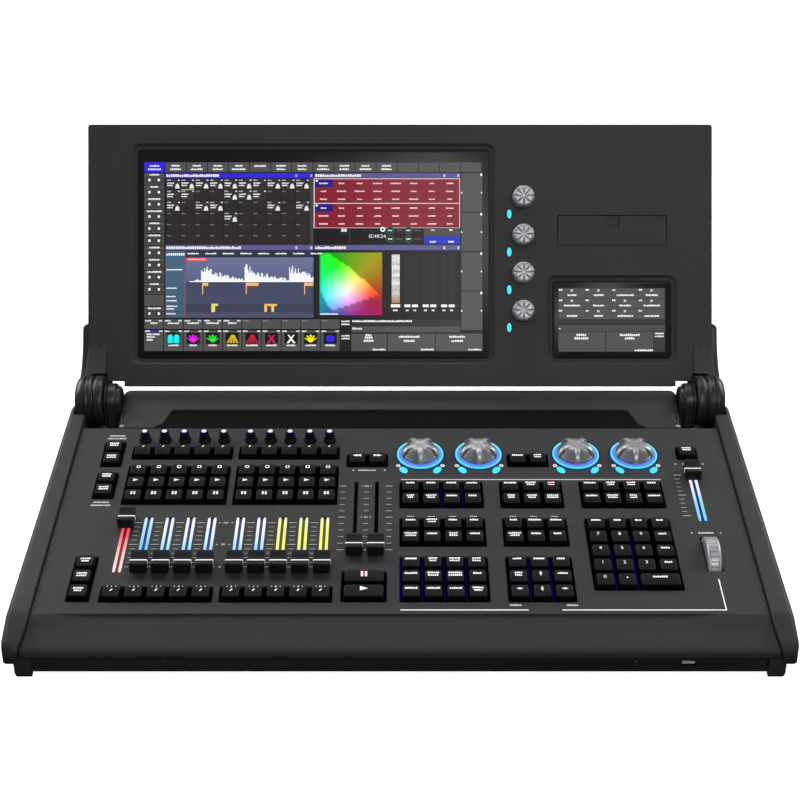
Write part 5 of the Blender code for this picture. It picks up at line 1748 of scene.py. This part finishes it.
def draw_left_column(p):
    for k in range(12):
        v = 11.0 + 12.15 * k
        p.area(0.0, v, 19.8, v + 11.2, CELL)
        if k == 10:
            continue
        p.area(0.8, v + 3.0, 9.6, v + 10.4, rgb(60, 60, 60), 2)
        p.area(10.2, v + 3.0, 19.0, v + 10.4, rgb(60, 60, 60), 2)
        p.centred(10.0, v + 1.3, dice.uniform(7, 16), 1.6)
        for u in (5.0, 14.4):
            p.area(u - 1.1, v + 5.4, u + 1.1, v + 7.8, INK, 4)


def draw_groups(p):
    p.area(21.0, 10.8, 169.0, 15.6, rgb(48, 32, 226))
    p.text(22.0, 13.2, 53.0, 2.5)
    for u in (151.0, 166.0):
        p.area(u, 12.0, u + 2.0, 14.6, rgb(160, 170, 250), 3)
    p.area(165.6, 16.0, 169.0, 83.0, rgb(66, 65, 66))
    filled = {0: range(10), 1: (0, 1, 4, 5, 6), 2: (0, 2, 3, 7, 9), 3: (4,)}
    for row in range(6):
        for column in range(10):
            u, v = 22.0 + 14.36 * column, 16.4 + 11.1 * row
            on = column in filled.get(row, ())
            p.area(u, v, u + 13.8, v + 10.6, rgb(52, 48, 49) if on else rgb(42, 37, 39))
            p.text(u + 0.6, v + 1.4, 4.2, 1.2, rgb(190, 190, 190) if on else rgb(120, 118, 118))
            if on:
                p.text(u + 0.8, v + 4.3, 7.0, 1.3)
                p.text(u + 0.8, v + 6.6, 5.6, 1.3)
                p.text(u + 11.6, v + 1.4, 1.8, 1.2)
                if column not in (6,) and (row, column) not in ((1, 0), (1, 1)):
                    p.shade([(u + 8.6, v + 9.6), (u + 9.4, v + 6.0), (u + 11.2, v + 4.6),
                             (u + 12.6, v + 6.4), (u + 13.2, v + 9.6)], rgb(235, 235, 232), 3)
    p.area(36.4, 27.0, 50.0, 27.6, rgb(210, 220, 90), 5)


def draw_execute(p):
    p.area(170.0, 10.8, 316.0, 15.6, rgb(88, 82, 150))
    p.text(171.0, 13.2, 46.0, 2.5)
    for u in (299.0, 313.0):
        p.area(u, 12.0, u + 2.0, 14.6, rgb(200, 200, 230), 3)
    for group in range(2):
        v0 = 16.8 + 24.7 * group
        p.area(169.2, v0 - 0.9, 315.8, v0 + 24.2, rgb(214, 190, 196))
        for row in range(3):
            for column in range(8):
                u, v = 170.4 + 18.06 * column, v0 + 7.9 * row
                first = row == 0 and column == 0
                p.area(u, v, u + 18.06, v + 7.9, rgb(28, 14, 128) if first else rgb(134, 24, 44), 2)
                if not first:
                    p.area(u, v + 7.4, u + 18.06, v + 7.9, rgb(112, 18, 36), 3)
                p.centred(u + 8.8, v + 4.2, dice.uniform(4.5, 10.5), 1.4, rgb(255, 225, 228))
        p.area(171.4, v0 + 0.6, 173.4, v0 + 2.6, INK, 4)


def draw_clock(p):
    x, y = p.spot(233.0, 73.8)
    z = PICTURE_LEVEL + 4 * LAYER
    digits(p.shape, "12:48:24", x, y, 3.4, z, INK)
    p.text(197.0, 67.8, 6.0, 3.0)
    p.area(205.0, 66.4, 205.5, 80.6, rgb(90, 74, 84))
    p.shade([(238.4 + 2.6 * math.cos(i * 0.7), 67.0 + 2.6 * math.sin(i * 0.7)) for i in range(9)],
            INK, 4)
    p.shade([(238.4 + 1.2 * math.cos(i * 0.7), 67.0 + 1.2 * math.sin(i * 0.7)) for i in range(9)],
            DARK, 5)
    for u in (246.0, 264.2):
        for v in (68.0, 76.6):
            turns = [i * 0.4189 for i in range(15)]
            ring = [(u + 3.8 * math.cos(a), v + 3.8 * math.sin(a)) for a in turns]
            core = [(u + 3.1 * math.cos(a), v + 3.1 * math.sin(a)) for a in turns]
            p.shade(ring, rgb(44, 110, 92), 3)
            p.shade(core, rgb(22, 30, 30), 4)
            p.centred(u, v, 4.2, 1.4, INK, 6)
            p.area(u + 5.6, v - 0.8, u + 12.0, v + 0.8, rgb(74, 72, 70), 3)
    for u in (279.6, 297.8):
        p.area(u, 66.2, u + 18.0, 74.0, rgb(72, 72, 70))
        p.area(u, 74.2, u + 18.0, 81.4, rgb(28, 52, 204))
        p.centred(u + 9.0, 67.6, 3.6, 1.6)
        p.centred(u + 9.0, 79.4, 6.0, 1.6)


def draw_timeline(p):
    p.area(21.0, 82.6, 169.0, 87.8, rgb(92, 88, 146))
    p.text(22.0, 85.4, 75.0, 2.6)
    for u in (151.0, 166.0):
        p.area(u, 84.0, u + 2.0, 86.8, rgb(200, 200, 230), 3)
    p.area(21.0, 88.4, 41.0, 155.4, [rgb(62, 92, 118), rgb(62, 92, 118), rgb(70, 104, 128),
                                     rgb(70, 104, 128)])
    p.text(22.0, 92.0, 18.6, 2.2)
    for v, wide in ((107.4, 16.0), (125.8, 10.6), (134.2, 9.4), (138.4, 10.4), (143.9, 11.0),
                    (146.6, 8.0), (151.4, 9.4)):
        p.text(22.0, v, wide, 1.3)
    p.area(41.4, 88.4, 169.0, 94.6, rgb(44, 48, 74))
    for k in range(8):
        p.text(43.2 + 17.6 * k, 91.2, 11.4, 1.5)
    p.area(41.4, 95.0, 169.0, 119.9, [rgb(88, 96, 132), rgb(88, 96, 132), rgb(110, 116, 152),
                                      rgb(110, 116, 152)])
    p.area(41.6, 95.4, 62.4, 98.6, rgb(212, 70, 72), 2)
    p.text(43.0, 97.0, 18.6, 1.6, rgb(255, 200, 200))
    p.area(40.4, 95.0, 41.2, 155.4, rgb(190, 60, 76), 3)
    steps = 128
    for k in range(steps):
        u = 45.0 + (169.0 - 45.0) * k / steps
        phase = (u - 56.0) % 44.0
        envelope = 0.0 if u < 56.0 else math.exp(-phase / 26.0)
        height = 20.0 * envelope * dice.uniform(0.45, 1.0)
        if u < 56.0:
            height = 6.0 * ((u - 45.0) / 11.0) ** 2
        if 41.5 < phase:
            height = 1.5
        p.area(u, 119.6 - max(0.8, height), u + 1.0, 119.7, rgb(246, 248, 252), 2)
    p.area(41.4, 119.9, 169.0, 155.4, [rgb(76, 78, 108), rgb(76, 78, 108), rgb(62, 72, 96),
                                       rgb(62, 72, 96)])
    p.area(41.4, 142.0, 169.0, 150.0, rgb(58, 64, 84), 2)
    for u, wide in ((57.8, 6.0), (101.4, 12.6), (159.8, 9.0)):
        p.area(u, 120.3, u + wide, 123.6, rgb(252, 188, 92), 3)
        p.area(u, 120.3, u + 0.9, 132.0, rgb(252, 190, 130), 4)
    p.area(67.0, 141.4, 70.6, 149.8, rgb(246, 226, 104), 3)
    p.area(70.4, 141.4, 73.6, 143.6, rgb(246, 226, 104), 3)
    for u in (120.0, 127.0):
        p.area(u, 141.6, u + 2.6, 149.6, rgb(250, 206, 100), 3)
    p.area(120.0, 141.6, 132.6, 143.8, rgb(250, 190, 90), 4)


def gamut_colour(u, v):
    """Hue round the middle of the colour field, paler towards it."""
    cx, cy = 0.42, 0.62
    angle = math.degrees(math.atan2(cy - v, u - cx)) % 360
    reach = min(1.0, math.hypot(u - cx, v - cy) / 0.42)
    stops = ((0, (255, 90, 20)), (20, (255, 160, 10)), (48, (255, 240, 0)), (80, (160, 255, 0)),
             (110, (20, 250, 20)), (160, (0, 250, 160)), (200, (20, 240, 255)),
             (235, (70, 150, 255)), (262, (150, 60, 255)), (290, (255, 20, 240)),
             (330, (255, 10, 120)), (360, (255, 90, 20)))
    for (a0, c0), (a1, c1) in zip(stops, stops[1:]):
        if a0 <= angle <= a1:
            share = (angle - a0) / (a1 - a0)
            hue = [x + (y - x) * share for x, y in zip(c0, c1)]
            break
    pale = max(0.0, 1 - reach) ** 0.8
    return [h + (255 - h) * pale for h in hue]


def draw_picker(p):
    p.area(170.0, 82.6, 316.0, 87.8, rgb(92, 88, 146))
    p.text(171.0, 85.4, 31.0, 2.6)
    for u in (299.0, 313.0):
        p.area(u, 84.0, u + 2.0, 86.8, rgb(200, 200, 230), 3)
    p.area(170.0, 88.4, 316.0, 155.6, rgb(30, 27, 29))
    left, top, size = 175.2, 90.2, 62.6
    cells = 30
    z = PICTURE_LEVEL + 2 * LAYER
    points, tints, faces = [], [], []
    corner = ((0.02, 0.06), (0.0, 0.32), (0.03, 0.66), (0.19, 0.93), (0.97, 0.67), (0.46, 0.22),
              (0.12, 0.0))

    def inside(u, v):
        found = False
        for (x0, y0), (x1, y1) in zip(corner, corner[1:] + corner[:1]):
            if (y0 > v) != (y1 > v) and u < x0 + (v - y0) / (y1 - y0) * (x1 - x0):
                found = not found
        return found

    for j in range(cells + 1):
        for i in range(cells + 1):
            u, v = i / cells, j / cells
            colour = gamut_colour(u, v)
            if not inside(u, v):
                colour = [c * 0.62 + 6 for c in colour]
            x, y = p.spot(left + size * u, top + size * v)
            points.append((x, y, z))
            tints.append(rgb(*colour))
    n = cells + 1
    for j in range(cells):
        for i in range(cells):
            a = j * n + i
            faces.append((a, a + n, a + n + 1, a + 1))
    p.shape.add(points, faces, tints)
    p.text(left + 0.6, top + size - 1.2, 18.0, 1.5)
    white, tan = rgb(252, 252, 252), rgb(200, 160, 116)
    p.area(247.4, 92.2, 255.4, 124.0, white)
    p.area(247.4, 124.0, 255.4, 141.0, [tan, tan, white, white])
    p.area(246.6, 142.0, 255.8, 145.0, INK, 3)
    for u in (260.0, 267.6, 278.4, 286.0, 296.8, 304.4):
        p.area(u, 92.2, u + 6.6, 141.0, rgb(38, 34, 35), 2)
        p.area(u, 142.2, u + 6.0, 144.8, INK, 3)
        p.centred(u + 3.0, 148.0, 3.0, 1.6)
    p.centred(251.2, 148.0, 5.0, 1.6)


def icon(p, kind, u, v, tint):
    """Small generic pictures of light beams."""
    if kind == "pair":
        for du in (-3.2, 3.0):
            p.shade([(u + du - 2.6, v + 4.4), (u + du - 2.6, v - 2.4), (u + du - 1.2, v - 4.2),
                     (u + du + 1.4, v - 4.2), (u + du + 2.7, v - 2.4), (u + du + 2.7, v + 4.4)],
                    tint, 4)
    elif kind == "fan":
        for k in range(5):
            a = math.radians(200 + 35 * k)
            tip_u, tip_v = u + 5.8 * math.cos(a), v + 1.0 + 5.0 * math.sin(a)
            p.shade([(u - 1.0, v + 3.6), (tip_u - 0.9, tip_v), (tip_u + 0.9, tip_v),
                     (u + 1.0, v + 3.6)], tint, 4 + k)
    elif kind == "tent":
        for k in range(4):
            du = -5.0 + 3.3 * k
            p.shade([(u + 0.2 * du, v - 4.0), (u + du - 0.8, v + 4.2), (u + du + 1.4, v + 4.2),
                     (u + 0.2 * du + 1.0, v - 4.0)], tint, 4 + k)
    elif kind == "cross":
        for side, layer in ((1, 4), (-1, 5)):
            p.shade([(u - side * 3.6, v - 4.0), (u - side * 2.2, v - 4.0),
                     (u + side * 4.6, v + 4.4), (u + side * 2.0, v + 4.4)], tint, layer)
    else:
        turns = [i * 0.4833 for i in range(13)]
        p.shade([(u + 4.6 * math.cos(a), v + 3.6 * math.sin(a)) for a in turns], tint, 4)


def draw_lower(p):
    for k in range(10):
        u = 19.6 * k
        p.area(u, 157.0, u + 18.8, 166.6, CELL)
        p.area(u, 168.2, u + 18.8, 188.6, CELL)
        p.text(u + 0.8, 158.4, 6.0, 1.4, INK if k < 5 else rgb(130, 130, 130))
        if k < 5:
            p.text(u + 14.4, 158.4, 3.4, 1.4)
            p.centred(u + 9.6, 160.8, dice.uniform(7, 13), 1.6)
        p.text(u + 0.6, 168.8, 5.0, 1.4)
        p.text(u + 14.8, 168.8, 3.4, 1.4)
    kinds = (
        None, ("pair", rgb(20, 240, 245)), ("fan", rgb(250, 20, 250)), ("fan", rgb(30, 240, 50)),
        ("tent", rgb(220, 190, 30)), ("tent", rgb(200, 20, 50)), ("cross", rgb(220, 20, 90)),
        ("cross", rgb(250, 250, 250)), ("fan", rgb(250, 240, 20)), ("disc", rgb(50, 30, 230)),
    )
    for k, entry in enumerate(kinds):
        u = 19.6 * k
        if entry:
            p.area(u + 3.0, 170.4, u + 16.0, 181.4, rgb(10, 8, 10), 2)
            icon(p, entry[0], u + 9.5, 176.4, entry[1])
            p.centred(u + 9.6, 183.0, dice.uniform(7, 12), 1.6)
        else:
            p.area(u + 4.6, 167.6, u + 13.6, 170.0, rgb(40, 40, 160), 3)
            for v, wide in ((172.0, 13.0), (174.6, 8.0), (177.6, 6.0)):
                p.text(u + 2.4, v, wide, 1.6)
    p.area(196.4, 156.4, 206.2, 188.6, rgb(26, 24, 26))
    for v in (159.0, 162.0, 173.4, 176.2):
        p.text(197.0, v, 8.6, 1.5)
    p.area(207.0, 157.0, 316.0, 163.4, rgb(44, 43, 44))
    p.text(208.0, 158.8, 60.0, 1.9)
    p.area(207.0, 164.0, 316.0, 170.0, rgb(78, 78, 78))
    p.text(208.0, 166.2, 10.0, 1.9)
    buttons = (
        (207.0, 242.4, ((224.4, 172.6, 6.0), (224.4, 175.2, 8.0), (224.4, 178.4, 10.0))),
        (243.4, 290.6, ((265.0, 174.4, 21.0), (265.0, 178.6, 11.0))),
        (291.4, 338.0, ((313.0, 174.4, 16.0), (313.0, 178.6, 12.0))),
    )
    for u0, u1, marks in buttons:
        p.area(u0, 171.4, u1, 188.6, CELL)
        for u, v, wide in marks:
            p.centred(u, v, wide, 2.0)
        p.text(u1 - 14.0, 187.2, 13.0, 1.6)


def draw_right_column(p):
    for k in range(4):
        v = 11.0 + 39.4 * k
        p.area(317.0, v, 338.0, v + 38.4, CELL)
        p.area(316.8, v + 18.4, 317.9, v + 20.2, INK, 3)
        p.area(336.6, v + 18.4, 337.7, v + 20.2, INK, 3)
        p.area(336.0, v + 0.2, 337.8, v + 2.6, INK, 3)


def build_main_picture():
    p = Picture(-260.6, 242.8, PICTURE_UNIT)
    p.area(-0.4, -0.4, 338.6, 189.2, rgb(20, 18, 20), 0)
    for draw in (draw_soft_keys, draw_left_column, draw_groups, draw_execute, draw_clock,
                 draw_timeline, draw_picker, draw_lower, draw_right_column):
        draw(p)
    return piece("main_picture", p.shape, SCREEN, "screen", PICTURE, recalc=False)


def build_small_picture():
    p = Picture(161.7, 114.4, PICTURE_UNIT)
    p.area(-0.3, -0.3, 106.7, 63.6, rgb(20, 18, 20), 0)
    grey = rgb(70, 68, 69)
    for row in range(3):
        for column in range(4):
            u, v = 26.6 * column, 0.0 + 10.4 * row
            p.area(u, v, u + 26.3, v + 10.1, grey)
            p.text(u + 0.4, v + 1.6, 3.6, 1.6)
            p.centred(u + 13.6, v + 6.8, dice.uniform(8, 18), 1.7)
            if (row + column) % 3 != 2:
                p.area(u + 12.0, v + 1.0, u + 14.4, v + 3.2, rgb(200, 200, 200), 3)
    p.area(0.0, 31.6, 106.4, 36.4, rgb(30, 28, 30))
    p.area(0.0, 37.0, 106.4, 43.2, rgb(60, 59, 60))
    p.text(0.4, 40.2, 1.6, 1.6)
    for u0, u1, marks in ((0.0, 46.4, ((23.0, 46.6, 10.0), (23.0, 50.0, 14.0))),
                          (47.8, 94.8, ((71.4, 46.6, 20.0), (71.4, 50.0, 10.0)))):
        p.area(u0, 43.8, u1, 63.2, grey)
        for u, v, wide in marks:
            p.centred(u, v, wide, 2.2)
    p.text(76.0, 62.0, 18.6, 1.8)
    p.area(95.6, 43.8, 106.4, 63.2, rgb(36, 34, 36))
    for v in (45.2, 48.0):
        p.text(96.4, v, 9.0, 1.5)
    return piece("small_picture", p.shape, SCREEN, "screen", PICTURE,
                 recalc=False)


def build_glass(name):
    low, high = extent(name, SCREEN)
    shape = Shape()
    rings = []
    for inset, z in ((0.0, low.z), (0.0, high.z - 0.5), (0.15, high.z - 0.15), (0.5, high.z)):
        outline = round_rect(low.x + 0.6 + inset, high.x - 0.6 - inset, low.y + 0.6 + inset,
                             high.y - 0.6 - inset, 3.6, 6)
        rings.append([(x, y, z) for x, y in outline])
    shape.loft(rings)
    piece(name + "_glass", shape, SCREEN, "screen", GLASS, (name,))


USB_X = 240.0


def build_front_details():
    """Two screws in the pan's front wall and the white tongue of its USB socket."""
    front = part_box("base_pan")[0].y / MM
    screws = Shape()
    for x in (-196.0, 196.0):
        screw_head(screws, (x, front + 0.15, 12.6), "-y", 2.5)
    piece("front_screws", screws, DESK, "base", HINGE, angle=30)
    tongue = Shape()
    cut_box(tongue, (USB_X - 5.4, front + 0.9, 11.7), (USB_X + 5.4, front + 13.3, 13.5))
    # the white tongue uses the glowing print material, so it glows as painted light
    piece("usb_tongue", tongue, DESK, "base", PRINT, recalc=False)


# ---------------------------------------------------------------- all of it


def build_everything():
    build_control_panel()
    boxes = {}
    for node_name in KEY_NODES + ["pause_key", "go_key"]:
        _, rectangles, _ = key_piece(node_name + "_caps", node_name)
        boxes[node_name] = rectangles
    build_print(boxes)
    lamp, glow = encoder_lamps()
    fader_lamps(lamp, glow)
    column_glow(glow, boxes)
    piece("panel_lamps", lamp, PANEL, "base", LAMP, recalc=False, angle=60)
    piece("panel_spill", glow, PANEL, "base", HAZE, recalc=False)

    legends("left_key_legends", "left_keys", left_rows)
    legends("playback_left_legends", "playback_keys_left", playback_rows(True))
    legends("playback_right_legends", "playback_keys_right", playback_rows(False))
    legends("step_key_legends", "step_keys", step_rows)
    legends("program_key_legends", "program_keys", program_rows)
    legends("numeric_key_legends", "numeric_keys", numeric_rows)
    legends("pause_key_legend", "pause_key", pause_rows)
    legends("go_key_legend", "go_key", go_rows)
    legends("single_key_legend", "single_key", single_rows)

    for name in FADERS + CROSSFADERS + [MASTER]:
        build_fader(name)
    for letter in "abcd":
        build_main_knob("main_encoder_" + letter)
    for number in range(1, 11):
        build_playback_knob(f"playback_encoder_{number:02d}")
    build_wheel()

    for name, side in (("left_cheek", -1), ("right_cheek", 1)):
        build_cheek(name, side)
    build_bridge()
    for word_side, side in (("left", -1), ("right", 1)):
        build_barrel(word_side + "_hinge_barrel", side)
        build_drum(word_side + "_hinge_drum", side)

    build_bezel()
    build_back_cover()
    build_hatch()
    build_glass("main_display")
    build_glass("small_display")
    build_main_picture()
    build_small_picture()
    lamp, glow = Shape(), Shape()
    for number in range(1, 5):
        name = f"screen_encoder_{number}"
        build_screen_knob(name)
        centre = middle_of(name, SCREEN)
        shape = oval(centre.x - 13.9, centre.y - 17.1, 2.3, 4.6)
        lamp.prism(shape, FACE - 0.1, FACE + 0.12, rgb(48, 236, 255))
        halo(glow, shape, 2.2, FACE + 0.06, rgb(8, 34, 90), 0.6)
    piece("screen_lamps", lamp, SCREEN, "screen", LAMP, recalc=False)
    piece("screen_spill", glow, SCREEN, "screen", HAZE, recalc=False)

    build_front_details()
    for name, material in (("base_pan", SHEET), ("rear_io_panel", SHEET), ("power_switch", KNOB),
                           ("power_supply", ZINC), ("main_board", BOARD), ("fader_board", BOARD)):
        NODES[name].data.materials.clear()
        NODES[name].data.materials.append(material)


# ---------------------------------------------------------------- floor, light, camera


FLOOR_LEVEL = -0.0002
FLOOR_HALF = 12.0
WALL_RADIUS = 11.0
WALL_HEIGHT = 9.0
WALL_STEPS = 64
CAMERA_LENS = 69.56
CAMERA_SPOT = (0.0, -1.301, 0.7913)
CAMERA_TILT = 63.0
LIGHT_TARGET = (0.0, -0.05, 0.08)
WORLD_LEVEL = 0.5
LIGHTS = (
    ("left_softbox", (-1.15, 0.55, 0.75), 0.9, 0.7, 11.0),
    ("right_softbox", (1.15, 0.55, 0.75), 0.9, 0.7, 9.5),
    ("top_light", (-0.1, 0.55, 1.25), 0.7, 0.5, 4.5),
    ("front_light", (0.45, -1.6, 1.3), 1.0, 0.8, 9.5),
)


def build_studio():
    """A pale floor and wall, an even sky, four soft lights and the camera."""
    bm = bmesh.new()
    bmesh.ops.create_grid(bm, x_segments=8, y_segments=8, size=FLOOR_HALF)
    mesh = bpy.data.meshes.new("floor")
    bm.to_mesh(mesh)
    bm.free()
    floor = bpy.data.objects.new("floor", mesh)
    bpy.context.scene.collection.objects.link(floor)
    floor.location.z = FLOOR_LEVEL
    floor.visible_diffuse = False
    floor.visible_glossy = False
    material, tree, shader = new_material("pale_floor", (0.9, 0.9, 0.9), 0.9, specular=0.0)
    coords = node(tree, "TexCoord")
    noise = node(tree, "TexNoise", Scale=2.0)
    shade = node(tree, "MapRange")
    shade.inputs["To Min"].default_value = 0.86
    shade.inputs["To Max"].default_value = 0.9
    tree.links.new(coords.outputs["Object"], noise.inputs["Vector"])
    tree.links.new(noise.outputs["Fac"], shade.inputs["Value"])
    shader.inputs["Emission Color"].default_value = (1.0, 1.0, 1.0, 1.0)
    tree.links.new(shade.outputs["Result"], shader.inputs["Emission Strength"])
    mesh.materials.append(material)

    wall_mesh = bpy.data.meshes.new("wall")
    ring = oval(0.0, 0.0, WALL_RADIUS, WALL_RADIUS, steps=WALL_STEPS)
    rows = [(x, y, z) for z in (FLOOR_LEVEL, WALL_HEIGHT) for x, y in ring]
    n = WALL_STEPS
    sides = [(i, (i + 1) % n, n + (i + 1) % n, n + i) for i in range(n)]
    wall_mesh.from_pydata(rows, [], sides)
    wall = bpy.data.objects.new("wall", wall_mesh)
    bpy.context.scene.collection.objects.link(wall)
    wall.visible_diffuse = False
    wall.visible_glossy = False
    wall.visible_shadow = False
    wall_mesh.materials.append(material)

    world = bpy.data.worlds.new("studio")
    bpy.context.scene.world = world
    world.use_nodes = True
    tree = world.node_tree
    coords = node(tree, "TexCoord")
    parts = node(tree, "SeparateXYZ")
    sky = tree.nodes.new("ShaderNodeValToRGB")
    stops = ((0.0, 0.03), (0.45, 0.06), (0.56, 0.34), (0.8, 0.5), (1.0, 0.42))
    for position, level in stops[1:-1]:
        sky.color_ramp.elements.new(position)
    for element, (position, level) in zip(sky.color_ramp.elements, stops):
        element.position = position
        element.color = (level, level, level, 1.0)
    level = node(tree, "MapRange")
    level.inputs["From Min"].default_value = -1.0
    tree.links.new(coords.outputs["Generated"], parts.inputs["Vector"])
    tree.links.new(parts.outputs["Z"], level.inputs["Value"])
    tree.links.new(level.outputs["Result"], sky.inputs["Fac"])
    tree.links.new(sky.outputs["Color"], tree.nodes["Background"].inputs["Color"])
    tree.nodes["Background"].inputs["Strength"].default_value = WORLD_LEVEL

    for name, spot, wide, tall, power in LIGHTS:
        light = bpy.data.lights.new(name, "AREA")
        light.shape = "RECTANGLE"
        light.energy = power
        light.size = wide
        light.size_y = tall
        lamp = bpy.data.objects.new(name, light)
        bpy.context.scene.collection.objects.link(lamp)
        lamp.location = spot
        aim = Vector(LIGHT_TARGET) - Vector(spot)
        lamp.rotation_euler = aim.to_track_quat("-Z", "Y").to_euler()

    camera = bpy.data.cameras.new("camera")
    camera.lens = CAMERA_LENS
    camera.sensor_width = 36.0
    camera.clip_start = 0.05
    holder = bpy.data.objects.new("camera", camera)
    bpy.context.scene.collection.objects.link(holder)
    holder.location = CAMERA_SPOT
    holder.rotation_euler = (math.radians(CAMERA_TILT), 0.0, 0.0)
    bpy.context.scene.camera = holder
    bpy.context.scene.view_settings.view_transform = "Standard"


build_everything()
build_studio()
